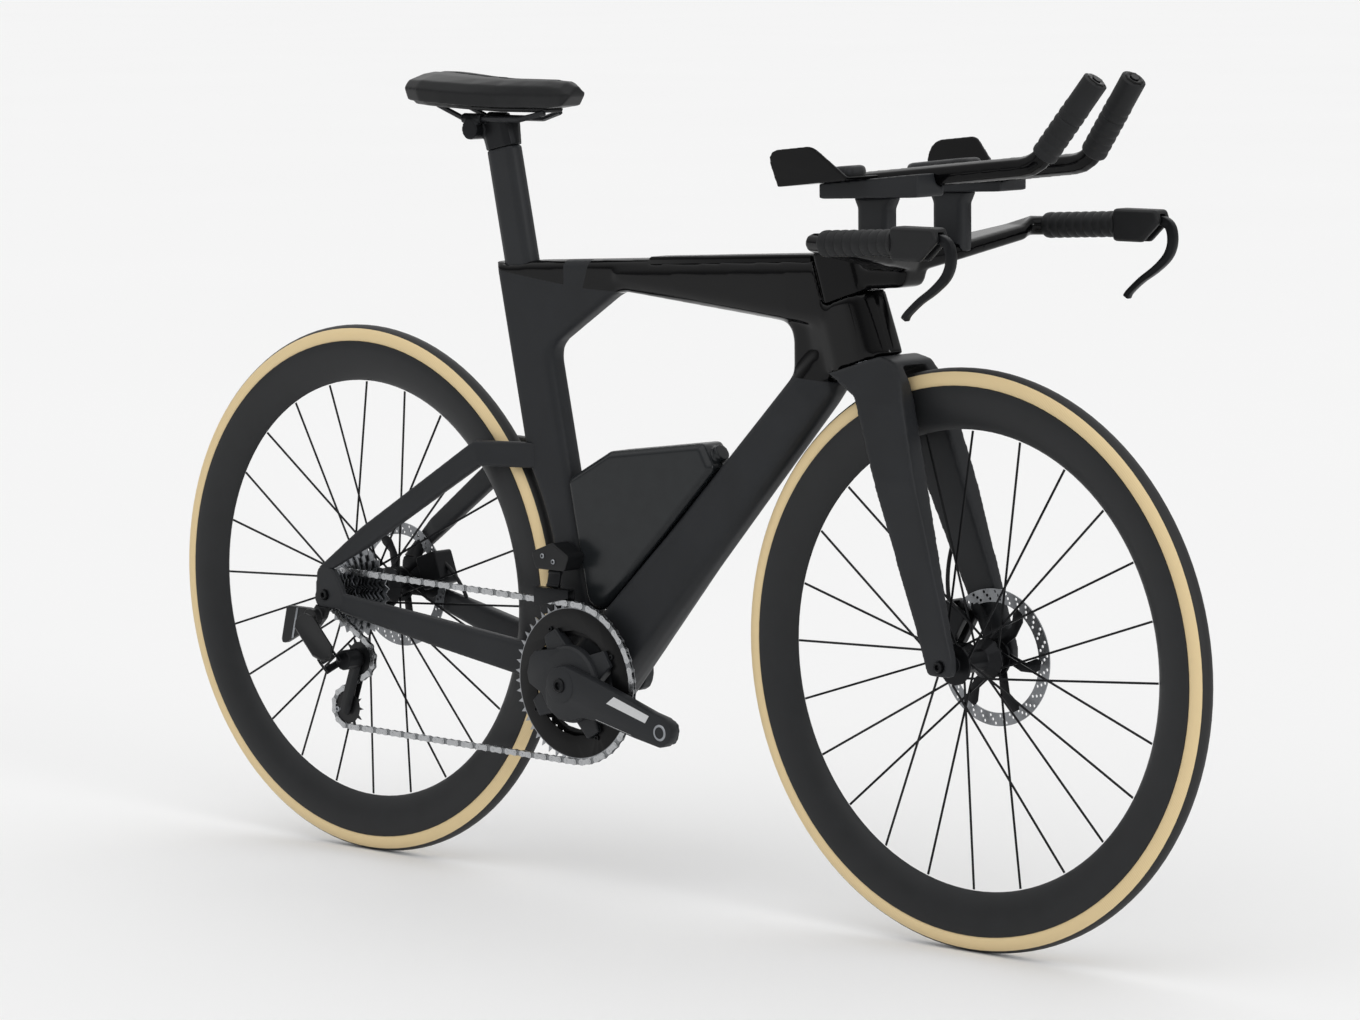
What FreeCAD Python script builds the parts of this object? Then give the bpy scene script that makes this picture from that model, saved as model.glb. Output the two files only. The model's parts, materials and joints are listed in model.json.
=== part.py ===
import FreeCAD, Part
import math
import os

V = FreeCAD.Vector

# Time trial bike in millimetres. +X points forward, +Y to the left, +Z up.
# The origin is on the ground, midway between the two wheel axles.

# Overall layout
wheelbase = 996.0
tyre_radius = 338.0
tyre_half = 14.0
bb_drop = 77.0
bb_tyre_gap = 77.0
crown_tyre_gap = 28.0
head_angle = 72.5
fork_offset = 44.0
head_tube_length = 78.0
seat_angle = 78.2
rear_spacing = 142.0
front_spacing = 100.0
chain_line = 49.0
chain_pitch = 12.7

# Clearances
overrun = 5.0
slide_gap = 0.3
running_gap = 0.05
seam_gap = 0.8
crown_room_radius = 56.0
crown_room_depth = 10.0
wheel_gap = 10.0
frame_wheel_gap = 4.0

# Frame, side view
seat_setback = 22.0
seat_depth = 69.0
seat_tube_height = 507.0
stem_rear_rise = 59.0
top_tube_front_depth = 79.0
gusset_reach = 137.0
gusset_depth = 39.0
gusset_angle = 33.0
head_fairing = 104.0
head_front_top = 38.0
head_front_low = 42.0
seam_rear = 36.0
throat_drop = 37.0
throat_back = 19.0
window_low_drop = 8.0
down_tube_top_offset = 47.0
down_tube_low_offset = 40.0
bb_shell_depth = 36.0
throat_radius = 60.0
window_radius = 22.0
gusset_radius = 40.0
corner_radius = 12.0

# Frame, widths
seat_half = 16.0
top_tube_half = 18.0
top_tube_front_half = 26.0
head_half = 27.0
head_shares = ((1.0, 0.25), (0.86, 0.68), (0.55, 0.92), (0.1, 1.0), (-0.45, 0.94), (-1.0, 0.58))
down_tube_half = 22.0
down_tube_top_half = 24.0
down_tube_head_half = 20.0
head_blend = 56.0
bb_flare_half = 35.0
core_round = 6.5
tube_corner = 14.0
tube_inset = 1.5

# Bottom bracket
bb_shell_radius = 29.0
bb_shell_half = 41.0
bb_bore_radius = 23.0
bb_flange = 2.5
bb_cup_length = 18.0
spindle_radius = 14.5

# Headset
steerer_radius = 14.3
head_bore_radius = 16.5
upper_bearing_radius = 20.5
lower_bearing_radius = 23.0
bearing_height = 7.0
stem_barrel_radius = 38.0
stem_rear_reach = 29.0

# Storage lid
lid_rear = 262.0
lid_front_gap = 6.0
lid_half = 15.0
lid_front_half = 21.0
lid_depth = 7.0
lid_rise = 2.0
lid_round = 1.8

# Stays
dropout_thickness = 9.0
stay_shoulder_rise = 193.0
stay_shoulder_back = 59.1
stay_root_sink = 17.9
stay_root_y = 14.0
stay_shoulder_y = 36.0
stay_mid_ahead = 61.0
stay_mid_rise = 78.0
stay_mid_y = 62.0
stay_end_lift = 34.0
stay_root_deep = 16.5
stay_deep = 13.5
stay_wide = 7.0
stay_root_wide = 3.0
stay_corner = 4.0
chain_root_back = 29.8
chain_root_y = 26.0
chain_root_rise = 5.0
chain_root_deep = 22.0
chain_neck_back = 99.8
chain_neck_y = 29.0
chain_neck_rise = 18.0
chain_mid_ahead = 168.0
chain_mid_y = 52.0
chain_mid_drop = 34.0
chain_mid_deep = 18.0
chain_end_setback = 26.0
chain_end_deep = 13.0
chain_wide = 8.0
chain_corner = 5.0
dropout_front = 32.0
dropout_rear = 20.0
dropout_top = 36.0
dropout_low = 16.0
dropout_round = 8.0
axle_radius = 6.0

# Fork
crown_front = 62.0
crown_half = 31.0
crown_shoulder_half = 47.0
crown_shoulder_drop = 42.0
leg_top_front = 69.0
leg_top_rear = 0.0
leg_top_drop = 38.0
leg_mid_share = 0.62
leg_mid_half = 57.0
leg_tip_front = 17.0
leg_tip_rear = 18.0
leg_tip_low = 12.0
fork_tip_half = 62.0
leg_slot_top = 21.0

# Wheels
rim_bed_drop = 26.0
rim_edge_drop = 20.0
rim_inner_drop = 71.0
rim_bed_half = 9.0
rim_inner_half = 4.5
tread_half = 5.5
tread_edge_drop = 8.5
spoke_count = 24
wheel_sides = 36
hub_sides = 12
rotor_sides = 20
drum_sides = 12
rod_sides = 8
wire_sides = 6
barrel_sides = 8
driver_sides = 6
bend_steps = 3
round_angle = 30.0
spoke_width = 2.6
spoke_thick = 1.2
flange_radius = 23.0
flange_thick = 3.0
hub_waist_radius = 13.0
hub_end_radius = 11.0
hub_bore_radius = 6.05
hub_core_radius = 4.0
front_flange_left = 24.0
front_flange_right = 34.0
rear_flange_left = 34.0
rear_flange_right = 17.0
rotor_radius = 80.0
rotor_track = 15.0
rotor_thick = 1.8
rotor_hub_radius = 19.0
rotor_arm_half = 5.0
rotor_arm_count = 6
front_rotor_y = 40.0
rear_rotor_y = 56.0
axle_head_radius = 9.0
axle_head = 4.0

# Seatpost and saddle
post_depth = 50.0
post_half = 12.5
post_corner = 11.0
post_bottom = 420.0
post_top = 660.0
post_travel = 40.0
head_height = 34.0
head_half_width = 17.0
head_barrel_radius = 13.0
head_barrel_half = 30.0
head_barrel_back = 24.0
rail_radius = 3.5
rail_spread = 22.0
rail_rise = 35.9
rail_front_ahead = 47.2
rail_rear_back = 48.8
rail_tip_ahead = 83.2
rail_tip_spread = 14.0
rail_tail_back = 92.8
rail_bend = 18.0
rail_clamp_radius = 7.0
rail_clamp_half = 16.0
saddle_tip_ahead = 126.2
saddle_length = 248.0
saddle_top_rise = 85.9
saddle_skirt_rise = 49.9
saddle_wing_half = 66.0
saddle_kick = 9.0
saddle_crown = 9.0
shell_thick = 5.0
channel_half = 7.0
channel_depth = 7.0
station_shares = (0.0, 0.05, 0.16, 0.30, 0.45, 0.60, 0.74, 0.86, 0.96, 1.0)
width_shares = (0.22, 0.30, 0.33, 0.37, 0.48, 0.68, 0.89, 1.0, 0.93, 0.72)
nose_drop_shares = (1.0, 0.25, 0.0, 0.0, 0.0, 0.0, 0.0, 0.0, 0.2, 0.9)
foot_lift_shares = (0.45, 0.1, 0.0, 0.0, 0.0, 0.0, 0.0, 0.0, 0.0, 0.3)
shell_start_count = 2
shell_end_count = 9

# Cockpit
bar_half = 199.0
bar_centre_ahead = 53.5
bar_centre_rise = 46.8
bar_centre_chord = 44.0
bar_centre_thick = 17.0
bar_inner_y = 62.0
bar_inner_ahead = 81.5
bar_inner_rise = 53.8
bar_inner_chord = 30.0
bar_inner_thick = 10.0
bar_outer_y = 165.0
bar_outer_ahead = 101.5
bar_outer_rise = 70.8
bar_outer_chord = 21.0
bar_outer_thick = 9.0
bar_end_ahead = 119.5
horn_rise = 77.8
horn_tip_ahead = 243.5
horn_tip_rise = 83.8
horn_radius = 11.0
stem_height = 62.0
stem_nose_drop = 14.0
stem_nose_ahead = 87.5
stem_half = 24.0
riser_ahead = 90.5
riser_y = 67.0
riser_depth = 24.0
riser_flare = 8.0
riser_half = 11.0
riser_corner = 8.0
extension_radius = 12.5
extension_rear_ahead = 22.0
extension_rear_y = 63.0
extension_rear_rise = 133.5
extension_bend_ahead = 305.5
extension_bend_y = 46.0
extension_bend_rise = 162.8
extension_tip_ahead = 380.5
extension_tip_y = 34.0
extension_tip_rise = 259.8
extension_bend_radius = 45.0
grip_radius = 15.0
grip_tip_radius = 13.5
mount_rear_ahead = 29.5
mount_front_ahead = 175.5
mount_inner_y = 50.0
mount_outer_y = 98.0
mount_front_rise = 125.8
mount_rear_rise = 119.8
mount_top_lift = 3.0
cup_rear_back = 2.5
cup_front_ahead = 101.5
cup_inner_y = 77.0
cup_outer_y = 133.0
cup_wing_y = 148.0
cup_wing_rise = 42.0
cup_wall = 4.0
cup_top_share = 0.66
cup_corner = 16.0
pad_thick = 13.0
pad_margin = 6.0
pad_corner = 14.0
bar_grip_ahead = 129.5
bar_grip_radius = 15.0
hood_rear_ahead = 229.5
hood_front_ahead = 297.5
hood_top_rise = 101.8
hood_low_rise = 63.8
hood_half = 13.0
hood_round = 5.0
hood_slot_half = 5.0
hood_slot_ahead = 263.5
lever_half = 4.6
lever_pivot_ahead = 279.5
lever_pivot_rise = 87.8
lever_pin_radius = 2.5
lever_root = 8.0
lever_front_ahead = 308.5
lever_bend_ahead = 299.5
lever_bend_rise = 46.8
lever_tip_ahead = 245.5
lever_tip_rise = 5.8
lever_thick = 11.0
button_radius = 5.0
button_height = 3.0
button_sink = 2.0

# Disc brakes
pad_depth = 4.0
pad_gap = 0.5
pad_half = 11.0
caliper_wall = 10.0
caliper_half_length = 22.0
caliper_half_height = 18.0
caliper_round = 4.0
front_caliper_angle = 149.0
rear_caliper_angle = 20.0
caliper_ring = 70.0
hose_radius = 2.5

# Drivetrain
ring_teeth = 48
small_ring_teeth = 35
drive_cog_teeth = 14
cog_teeth = (10, 11, 12, 13, 14, 15, 16, 17, 19, 21, 24, 28)
pulley_teeth = 12
roller_radius = 3.85
tooth_root_gap = 0.3
tooth_tip_rise = 2.9
valley_half = 3.3
ring_thick = 1.9
ring_spacing = 7.4
ring_land = 32.0
small_ring_land = 13.0
cog_thick = 1.6
cog_spacing = 3.65
driver_radius = 15.5
inner_plate_in = 1.15
inner_plate_out = 1.95
outer_plate_in = 2.05
outer_plate_out = 2.75
outer_plate_wall = 0.7
plate_half = 3.6
plate_reach = 3.6
roller_half = 2.8
crank_length = 170.0
crank_inner_y = 56.0
crank_outer_y = 75.0
crank_angle = -14.0
crank_root_half = 21.0
crank_tip_half = 15.0
crank_round = 5.0
pedal_hole_radius = 7.14
spider_arm_half = 11.0
spider_arm_count = 4
spider_thick = 5.0
guide_pulley_ahead = 31.0
guide_pulley_drop = 81.0
cage_length = 70.0
cage_guess = -107.0
pulley_thick = 2.0
pulley_bore = 3.0
cage_gap = 4.0
cage_plate = 1.6
cage_half = 9.0
hub_seat_radius = 9.0
rotor_boss_radius = 17.0
rotor_arm_lean = 24.0
cage_swing = 20.0
spider_boss_radius = 42.0
spider_lap = 5.0
front_end = 12.0
rear_end = 5.0
spoke_stand_share = 0.75

# Open lengths of brake hose
front_hose_bend = 40.0
rear_hose_bend = 26.0
front_hose_steps = [(-74.0, 46.0, 58.0), (-84.0, 50.0, 92.0), (-74.0, 54.0, 128.0)]
rear_hose_steps = [(78.0, 56.0, 34.0), (100.0, 58.0, 20.0), (114.0, 60.0, -8.0)]

# Shares and small sizes
brow_share = 0.86
bulge_share = 0.45
foot_share = 0.90
shoulder_share = 0.45
shoulder_drop_share = 0.25
channel_start_share = 0.04
channel_end_share = 0.97
channel_run_share = 0.12
channel_width_share = 0.6
groove_floor_share = 0.5
shell_share = 0.86
button_travel = 1.0
grip_start = 20.0
pad_height_shares = (0.0, 0.45, 0.85, 1.0)
pad_inset_shares = (0.3, 0.0, 0.25, 0.9)
hood_bevel = 3.0
lever_root_share = 0.7
pad_height_share = 0.8
bottle_rear_rise = 182.13366
bottle_brow_along = 178.36472
bottle_brow_lift = 128.76755
bottle_nose_along = 299.83346
bottle_nose_lift = 34.90496
bottle_front_along = 290.24432
bottle_cap = 18.0
bottle_cap_radius = 11.0
bottle_half = 22.0
bottle_round = 8.0
bottle_bevel = 6.0
fd_rear = 62.0
fd_mid = 34.0
fd_front = 6.0
fd_lean = 8.0
fd_height = 34.0
fd_rear_share = 0.6
fd_front_share = 0.55
fd_round = 4.0
fd_overhang = 2.0
fd_link_drop = 16.0
fd_link_half = 10.0
fd_barrel = 2.6
fd_cage_front = 4.0
fd_cage_rear = 62.0
fd_cage_rise = 17.0
fd_cage_gap = 4.0
fd_cage_heel = 14.0
fd_cage_half = 4.6
fd_inner_drop = 12.0
rd_mount_back = 17.0
rd_mount_drop = 31.0
rd_slant_share = 0.6
rd_ear = 7.0
rd_ear_thick = 3.0
rd_barrel = 4.5
rd_barrel_half = 9.0
rd_link_y = 102.0
rd_knuckle = 13.0
rd_knuckle_y = 91.0
rd_lower_y = 80.0
rd_battery_length = 58.0
rd_battery_drop = 40.0
cage_stub = 12.0
cage_round_share = 0.7


def direction(angle):
    """Unit vector in the side plane, at an angle in degrees above forward."""
    turn = math.radians(angle)
    return V(math.cos(turn), 0, math.sin(turn))


def meet(first, second):
    """Point where two side-plane lines, each a point and a direction, cross."""
    p, d = first
    q, e = second
    cross = d.x * e.z - d.z * e.x
    reach = ((q.x - p.x) * e.z - (q.z - p.z) * e.x) / cross
    return p + d * reach


def outline(corners):
    """Closed polygon through (point, radius) corners, each rounded in short flats."""
    points = []
    for i, (corner, radius) in enumerate(corners):
        if radius == 0:
            points.append(corner)
            continue
        back = (corners[i - 1][0] - corner).normalize()
        ahead = (corners[(i + 1) % len(corners)][0] - corner).normalize()
        half = back.getAngle(ahead) / 2
        centre = corner + (back + ahead).normalize() * (radius / math.sin(half))
        start = corner + back * (radius / math.tan(half)) - centre
        end = corner + ahead * (radius / math.tan(half)) - centre
        turn = math.pi - 2 * half
        step = round_angle if radius > corner_radius else round_angle * 2
        flats = max(2, round(math.degrees(turn) / step))
        for k in range(flats + 1):
            lead = math.sin(turn * (1 - k / flats)) / math.sin(turn)
            follow = math.sin(turn * k / flats) / math.sin(turn)
            points.append(centre + start * lead + end * follow)
    return Part.makePolygon(points + points[:1])


def slab(corners, low_y, high_y):
    """Side-view outline made solid from one Y to another."""
    face = Part.Face(outline(corners))
    face.translate(V(0, low_y, 0))
    return face.extrude(V(0, high_y - low_y, 0))


def faceted(rows):
    """Closed solid through rows of points: flat triangles between rows, flat caps at both ends."""
    faces = []
    for row, after in zip(rows, rows[1:]):
        count = len(row)
        for i in range(count):
            j = (i + 1) % count
            for corners in ((row[i], row[j], after[j]), (row[i], after[j], after[i])):
                faces.append(Part.Face(Part.makePolygon(list(corners) + [corners[0]])))
    for row in (rows[0], rows[-1]):
        faces.append(Part.Face(Part.makePolygon(row + row[:1])))
    return Part.Solid(Part.makeShell(faces))


def turned(profile, centre, sides):
    """Ring round the Y axis from (radius, y) points, in flat bands of as many sides as asked."""
    faces = []
    step = 360 / sides
    for (r, y), (r2, y2) in zip(profile, profile[1:] + profile[:1]):
        for i in range(sides):
            a, b = direction(i * step), direction((i + 1) * step)
            low, high = centre + V(0, y, 0), centre + V(0, y2, 0)
            corners = [low + a * r, low + b * r, high + b * r2, high + a * r2]
            faces.append(Part.Face(Part.makePolygon(corners + corners[:1])))
    return Part.Solid(Part.makeShell(faces))


def drum(centre, radius, low, high, axis=V(0, 1, 0), sides=0):
    """Many-sided drum along an axis through a centre, from one place to another."""
    count = sides or drum_sides
    across = axis.cross(V(0, 1, 0)) if axis.cross(V(0, 1, 0)).Length > 0 else V(1, 0, 0)
    across.normalize()
    upward = axis.cross(across)
    ring = []
    for i in range(count):
        turn = math.radians(i * 360 / count)
        ring.append(centre + axis * low + (across * math.cos(turn) + upward * math.sin(turn)) * radius)
    return prism(ring, axis * (high - low))


def shaft(centre, radius, low, high, axis=V(0, 1, 0)):
    """True cylinder along an axis, for what turns in or on something else."""
    return Part.makeCylinder(radius, high - low, centre + axis * low, axis)


def rod_hole(centre, radius, low, high):
    """Many-sided hole along the Y axis whose flats just clear a rod."""
    return drum(centre, (radius + running_gap) / math.cos(math.pi / drum_sides), low, high)


def tube(centre, outer, inner, low, high, axis=V(0, 1, 0), sides=0):
    """Many-sided ring along an axis."""
    return drum(centre, outer, low, high, axis, sides).cut(drum(centre, inner, low, high, axis, sides))


def bushing(centre, outer, inner, low, high, axis=V(0, 1, 0)):
    """Many-sided sleeve with a true bore."""
    return drum(centre, outer, low, high, axis).cut(shaft(centre, inner, low, high, axis))


def section(centre, along, deep, wide, corner, side=V(0, 1, 0)):
    """Rectangle with rounded-off corners, square to a direction: half depth, half width, corner radius."""
    normal = V(along)
    normal.normalize()
    wide_way = side - normal * side.dot(normal)
    wide_way.normalize()
    deep_way = normal.cross(wide_way)
    row = []
    for turn, (d, w) in enumerate(((1, 1), (-1, 1), (-1, -1), (1, -1))):
        middle = centre + deep_way * (d * (deep - corner)) + wide_way * (w * (wide - corner))
        for share in (0, 0.5, 1):
            angle = math.radians(90 * (turn + share))
            row.append(middle + (deep_way * math.cos(angle) + wide_way * math.sin(angle)) * corner)
    return row


def mirrored(shape):
    """The same shape on the other side of the bike."""
    return shape.mirror(V(0, 0, 0), V(0, 1, 0))


def both_sides(shape):
    """A shape and its mirror image, as one group."""
    return Part.makeCompound([shape, mirrored(shape)])


def prism(points, way):
    """Flat polygon pushed along a vector."""
    return Part.Face(Part.makePolygon(points + points[:1])).extrude(way)


def rounded_edges(solid, radius, chosen):
    """Break the edges that a test picks."""
    return solid.makeChamfer(radius, [edge for edge in solid.Edges if chosen(edge)])


def save(name, shape):
    """Write one node."""
    shape.exportStep(os.path.join("parts", name + ".step"))


# Places that the whole bike hangs on
rear_axle = V(-wheelbase / 2, 0, tyre_radius)
front_axle = V(wheelbase / 2, 0, tyre_radius)
rim_bed_radius = tyre_radius - rim_bed_drop
rim_edge_radius = tyre_radius - rim_edge_drop
rim_inner_radius = tyre_radius - rim_inner_drop
tread_edge_radius = tyre_radius - tread_edge_drop
chainstay_length = tyre_radius + bb_tyre_gap
fork_length = tyre_radius + crown_tyre_gap
bb = rear_axle + V(math.sqrt(chainstay_length ** 2 - bb_drop ** 2), 0, -bb_drop)
steer_up = direction(180 - head_angle)
steer_forward = direction(90 - head_angle)
steer_foot = front_axle - steer_forward * fork_offset
seat_up = direction(180 - seat_angle)
seat_forward = direction(90 - seat_angle)
seat_foot = bb - V(seat_setback, 0, 0)
level = direction(0)
upright = direction(90)
head_top = fork_length + head_tube_length


def steer_point(up, forward):
    """Place beside the steering axis."""
    return steer_foot + steer_up * up + steer_forward * forward


def side_edge(edge):
    """True for an edge that lies on one flank of a slab, away from the middle plane."""
    ends = [vertex.Y for vertex in edge.Vertexes]
    return min(ends) * max(ends) > 0 and abs(ends[0] - ends[-1]) < abs(ends[0]) / 2


def tangent(place, offset):
    """Line through a place that passes the bottom bracket at an offset, above it if positive."""
    reach = place - bb
    lean = math.degrees(math.atan2(reach.z, reach.x) - math.asin(offset / reach.Length))
    return place, direction(lean)


# Lines of the frame in side view
seat_front_line = (seat_foot + seat_forward * (seat_depth / 2), seat_up)
seat_rear_line = (seat_foot - seat_forward * (seat_depth / 2), seat_up)
seat_top = meet(seat_rear_line, (bb + V(0, 0, seat_tube_height), level))
stem_rear_line = (steer_point(head_top, -stem_rear_reach), steer_up)
stem_top_rear = steer_point(head_top + stem_rear_rise, -stem_rear_reach)
top_way = (stem_top_rear - seat_top).normalize()
top_up = V(-top_way.z, 0, top_way.x)
top_line = (seat_top, top_way)
crown_rear = steer_point(fork_length, -seam_rear)
head_rear_line = (steer_point(head_top - head_tube_length / 2, -head_fairing), upright)
window_front = meet(top_line, head_rear_line) - V(0, 0, top_tube_front_depth)
gusset_point = meet(seat_front_line, top_line) + top_way * gusset_reach - V(0, 0, gusset_depth)
top_low_line = (window_front, (window_front - gusset_point).normalize())
gusset_line = (gusset_point, direction(gusset_angle))
window_low = meet(head_rear_line, (crown_rear - V(0, 0, window_low_drop), level))
throat = crown_rear - V(throat_back, 0, throat_drop)
down_top_line = tangent(window_low, down_tube_top_offset)
down_low_line = tangent(throat, -down_tube_low_offset)
down_top_way = down_top_line[1]
down_low_way = down_low_line[1]
bb_floor_line = (bb - V(0, 0, bb_shell_depth), level)


# Places measured from the head tube's top, the seatpost's top, the axles and the bottom bracket
bar_root = steer_point(head_top, 0)
post_head = seat_foot + seat_up * post_top
bar_centre_x = bar_root.x + bar_centre_ahead
bar_centre_z = bar_root.z + bar_centre_rise
bar_inner_x = bar_root.x + bar_inner_ahead
bar_inner_z = bar_root.z + bar_inner_rise
bar_outer_x = bar_root.x + bar_outer_ahead
bar_outer_z = bar_root.z + bar_outer_rise
bar_end_x = bar_root.x + bar_end_ahead
horn_z = bar_root.z + horn_rise
horn_tip_x = bar_root.x + horn_tip_ahead
horn_tip_z = bar_root.z + horn_tip_rise
stem_nose_x = bar_root.x + stem_nose_ahead
riser_x = bar_root.x + riser_ahead
mount_rear_x = bar_root.x + mount_rear_ahead
mount_front_x = bar_root.x + mount_front_ahead
mount_front_low = bar_root.z + mount_front_rise
mount_rear_low = bar_root.z + mount_rear_rise
cup_rear_x = bar_root.x - cup_rear_back
cup_front_x = bar_root.x + cup_front_ahead
bar_grip_rear_x = bar_root.x + bar_grip_ahead
hood_rear_x = bar_root.x + hood_rear_ahead
hood_front_x = bar_root.x + hood_front_ahead
hood_top_z = bar_root.z + hood_top_rise
hood_low_z = bar_root.z + hood_low_rise
hood_slot_x = bar_root.x + hood_slot_ahead
lever_front_x = bar_root.x + lever_front_ahead
lever_bend_x = bar_root.x + lever_bend_ahead
lever_bend_z = bar_root.z + lever_bend_rise
lever_tip_x = bar_root.x + lever_tip_ahead
lever_tip_z = bar_root.z + lever_tip_rise
rail_level = post_head.z + rail_rise
rail_front_x = post_head.x + rail_front_ahead
rail_rear_x = post_head.x - rail_rear_back
rail_tip_x = post_head.x + rail_tip_ahead
rail_tail_x = post_head.x - rail_tail_back
saddle_tip_x = post_head.x + saddle_tip_ahead
saddle_top = post_head.z + saddle_top_rise
saddle_skirt = post_head.z + saddle_skirt_rise
stay_shoulder_height = rear_axle.z + stay_shoulder_rise
extension_rear = bar_root + V(extension_rear_ahead, extension_rear_y, extension_rear_rise)
extension_bend = bar_root + V(extension_bend_ahead, extension_bend_y, extension_bend_rise)
extension_tip = bar_root + V(extension_tip_ahead, extension_tip_y, extension_tip_rise)
lever_pivot = bar_root + V(lever_pivot_ahead, bar_half, lever_pivot_rise)
front_hose_route = [front_axle + V(x, y, z) for x, y, z in front_hose_steps]
rear_hose_route = [rear_axle + V(x, y, z) for x, y, z in rear_hose_steps]


def on_seam(edge):
    """True for an edge that lies on a face where the fork, the stem or nothing else meets the frame."""
    planes = [(steer_point(head_top, 0), steer_up), (steer_point(fork_length, 0), steer_up)]
    planes.append((stem_rear_line[0], steer_forward))
    for origin, normal in planes:
        if all(abs((vertex.Point - origin).dot(normal)) < slide_gap for vertex in edge.Vertexes):
            return True
    return False


def make_core():
    """Side-view web of the frame with its window, rounded along both flanks."""
    skin = [(seat_top, 0), (stem_top_rear, 0)]
    skin.append((steer_point(head_top, -stem_rear_reach), 0))
    skin.append((steer_point(head_top, head_front_top), 0))
    skin.append((steer_point(fork_length, head_front_low), 0))
    skin += [(crown_rear, 0), (throat, throat_radius)]
    skin.append((meet(bb_floor_line, down_low_line), corner_radius))
    skin.append((meet(bb_floor_line, (bb - V(bb_shell_radius, 0, 0), upright)), corner_radius))
    skin.append((meet(seat_rear_line, (bb, level)), corner_radius))
    window = [(meet(top_low_line, head_rear_line), window_radius)]
    window.append((meet(head_rear_line, down_top_line), window_radius))
    window.append((meet(down_top_line, seat_front_line), corner_radius))
    window.append((meet(seat_front_line, gusset_line), window_radius))
    window.append((gusset_point, gusset_radius))
    core = slab(skin, -seat_half, seat_half).cut(slab(window, -seat_half, seat_half))
    core = core.cut(shaft(rear_axle, tyre_radius + wheel_gap, -seat_half, seat_half))
    return rounded_edges(core, core_round, lambda e: side_edge(e) and not on_seam(e))


def between(low_line, high_line, cut_line, wide, corner):
    """Tube section that fills the depth between two edge lines, where a third line crosses them."""
    low = meet(low_line, cut_line)
    high = meet(high_line, cut_line)
    along = (high - low).cross(V(0, 1, 0))
    return section((low + high) / 2, along, (high - low).Length / 2 - tube_inset, wide, corner)


def make_top_tube():
    """Top tube, wider and deeper towards the head."""
    stations = [(gusset_point, top_tube_half), (window_front, top_tube_front_half)]
    stations.append((stem_rear_line[0], top_tube_front_half))
    cuts = [between(top_low_line, top_line, (at, upright), half, tube_corner) for at, half in stations]
    return faceted(cuts)


def make_down_tube():
    """Down tube, flared out to the bottom bracket shell."""
    across = V(-down_low_way.z, 0, down_low_way.x)
    middle = (bb + window_low) / 2
    stations = [(bb, across, bb_flare_half), (middle, across, down_tube_half)]
    stations.append((window_low, across, down_tube_top_half))
    stations.append((steer_point(fork_length, -head_blend), steer_up, down_tube_head_half))
    cuts = [between(down_low_line, down_top_line, (at, way), half, tube_corner)
            for at, way, half in stations]
    return faceted(cuts)


def make_head_tube():
    """Head tube with its long fairing, from the crown seam to the stem seam."""
    rear_low = meet((steer_point(fork_length, 0), steer_forward), head_rear_line)
    rear_top = meet((steer_point(head_top, 0), steer_forward), head_rear_line)
    cuts = []
    for up, rear, front in ((fork_length, rear_low, head_front_low), (head_top, rear_top, head_front_top)):
        axis = steer_point(up, 0)
        tail = min((axis - rear).Length, seam_rear * 2)
        left = []
        for reach_share, width_share in head_shares:
            reach = reach_share * (front - tube_inset if reach_share > 0 else tail)
            left.append(axis + steer_forward * reach + V(0, head_half * width_share, 0))
        cuts.append(left + [V(point.x, -point.y, point.z) for point in reversed(left)])
    return faceted(cuts)


def post_section(up, grow):
    """Seatpost section at a height along the seat tube, grown by a clearance."""
    middle = seat_foot + seat_up * up
    return section(middle, seat_up, post_depth / 2 + grow, post_half + grow, post_corner + grow)


def make_front_triangle():
    """Seat tube, top tube, head tube, down tube and bottom bracket shell in one moulding."""
    frame = make_core()
    for piece in (make_top_tube(), make_down_tube(), make_head_tube()):
        frame = frame.fuse(piece)
    frame = frame.fuse(drum(bb, bb_shell_radius, -bb_shell_half, bb_shell_half))
    frame = frame.cut(drum(bb, bb_bore_radius, -bb_shell_half, bb_shell_half))
    bore = drum(steer_foot, head_bore_radius, fork_length - overrun, head_top + overrun, steer_up)
    upper = drum(steer_foot, upper_bearing_radius, head_top - bearing_height, head_top, steer_up)
    lower = drum(steer_foot, lower_bearing_radius, fork_length, fork_length + bearing_height, steer_up)
    pocket = faceted([post_section(post_bottom - post_travel - overrun, slide_gap),
                      post_section(post_top, slide_gap)])
    crown = shaft(steer_foot, crown_room_radius, fork_length - crown_room_depth, fork_length, steer_up)
    wheel = shaft(front_axle, tyre_radius + frame_wheel_gap, -tyre_half - wheel_gap, tyre_half + wheel_gap)
    for room in (make_stem_room(), crown, wheel, bore, upper, lower, pocket, make_lid_room()):
        frame = frame.cut(room)
    return frame.removeSplitter()


def lid_block(drop, rise):
    """Long block on the top tube, from the lid's rear end to the stem."""
    front = stem_top_rear - top_way * lid_front_gap
    rear = front - top_way * lid_rear
    plan = [rear + V(0, lid_half, 0), front + V(0, lid_front_half, 0)]
    plan += [front - V(0, lid_front_half, 0), rear - V(0, lid_half, 0)]
    plan = [point - top_up * drop for point in plan]
    return prism(plan, top_up * (drop + rise))


def make_stem_room():
    """Space round the steering axis for the stem to turn in."""
    return shaft(steer_foot, stem_barrel_radius + seam_gap, head_top, head_top * 2, steer_up)


def make_lid_room():
    """Recess that the lid drops into."""
    return lid_block(lid_depth, overrun)


def make_lid():
    """Storage lid, proud of the tube and rounded along its rim."""
    block = lid_block(lid_depth, lid_rise)
    top = (stem_top_rear + top_up * lid_rise).dot(top_up)
    lid = rounded_edges(block, lid_round,
                        lambda e: all(abs(v.Point.dot(top_up) - top) < slide_gap for v in e.Vertexes))
    return lid.cut(make_stem_room())


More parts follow.
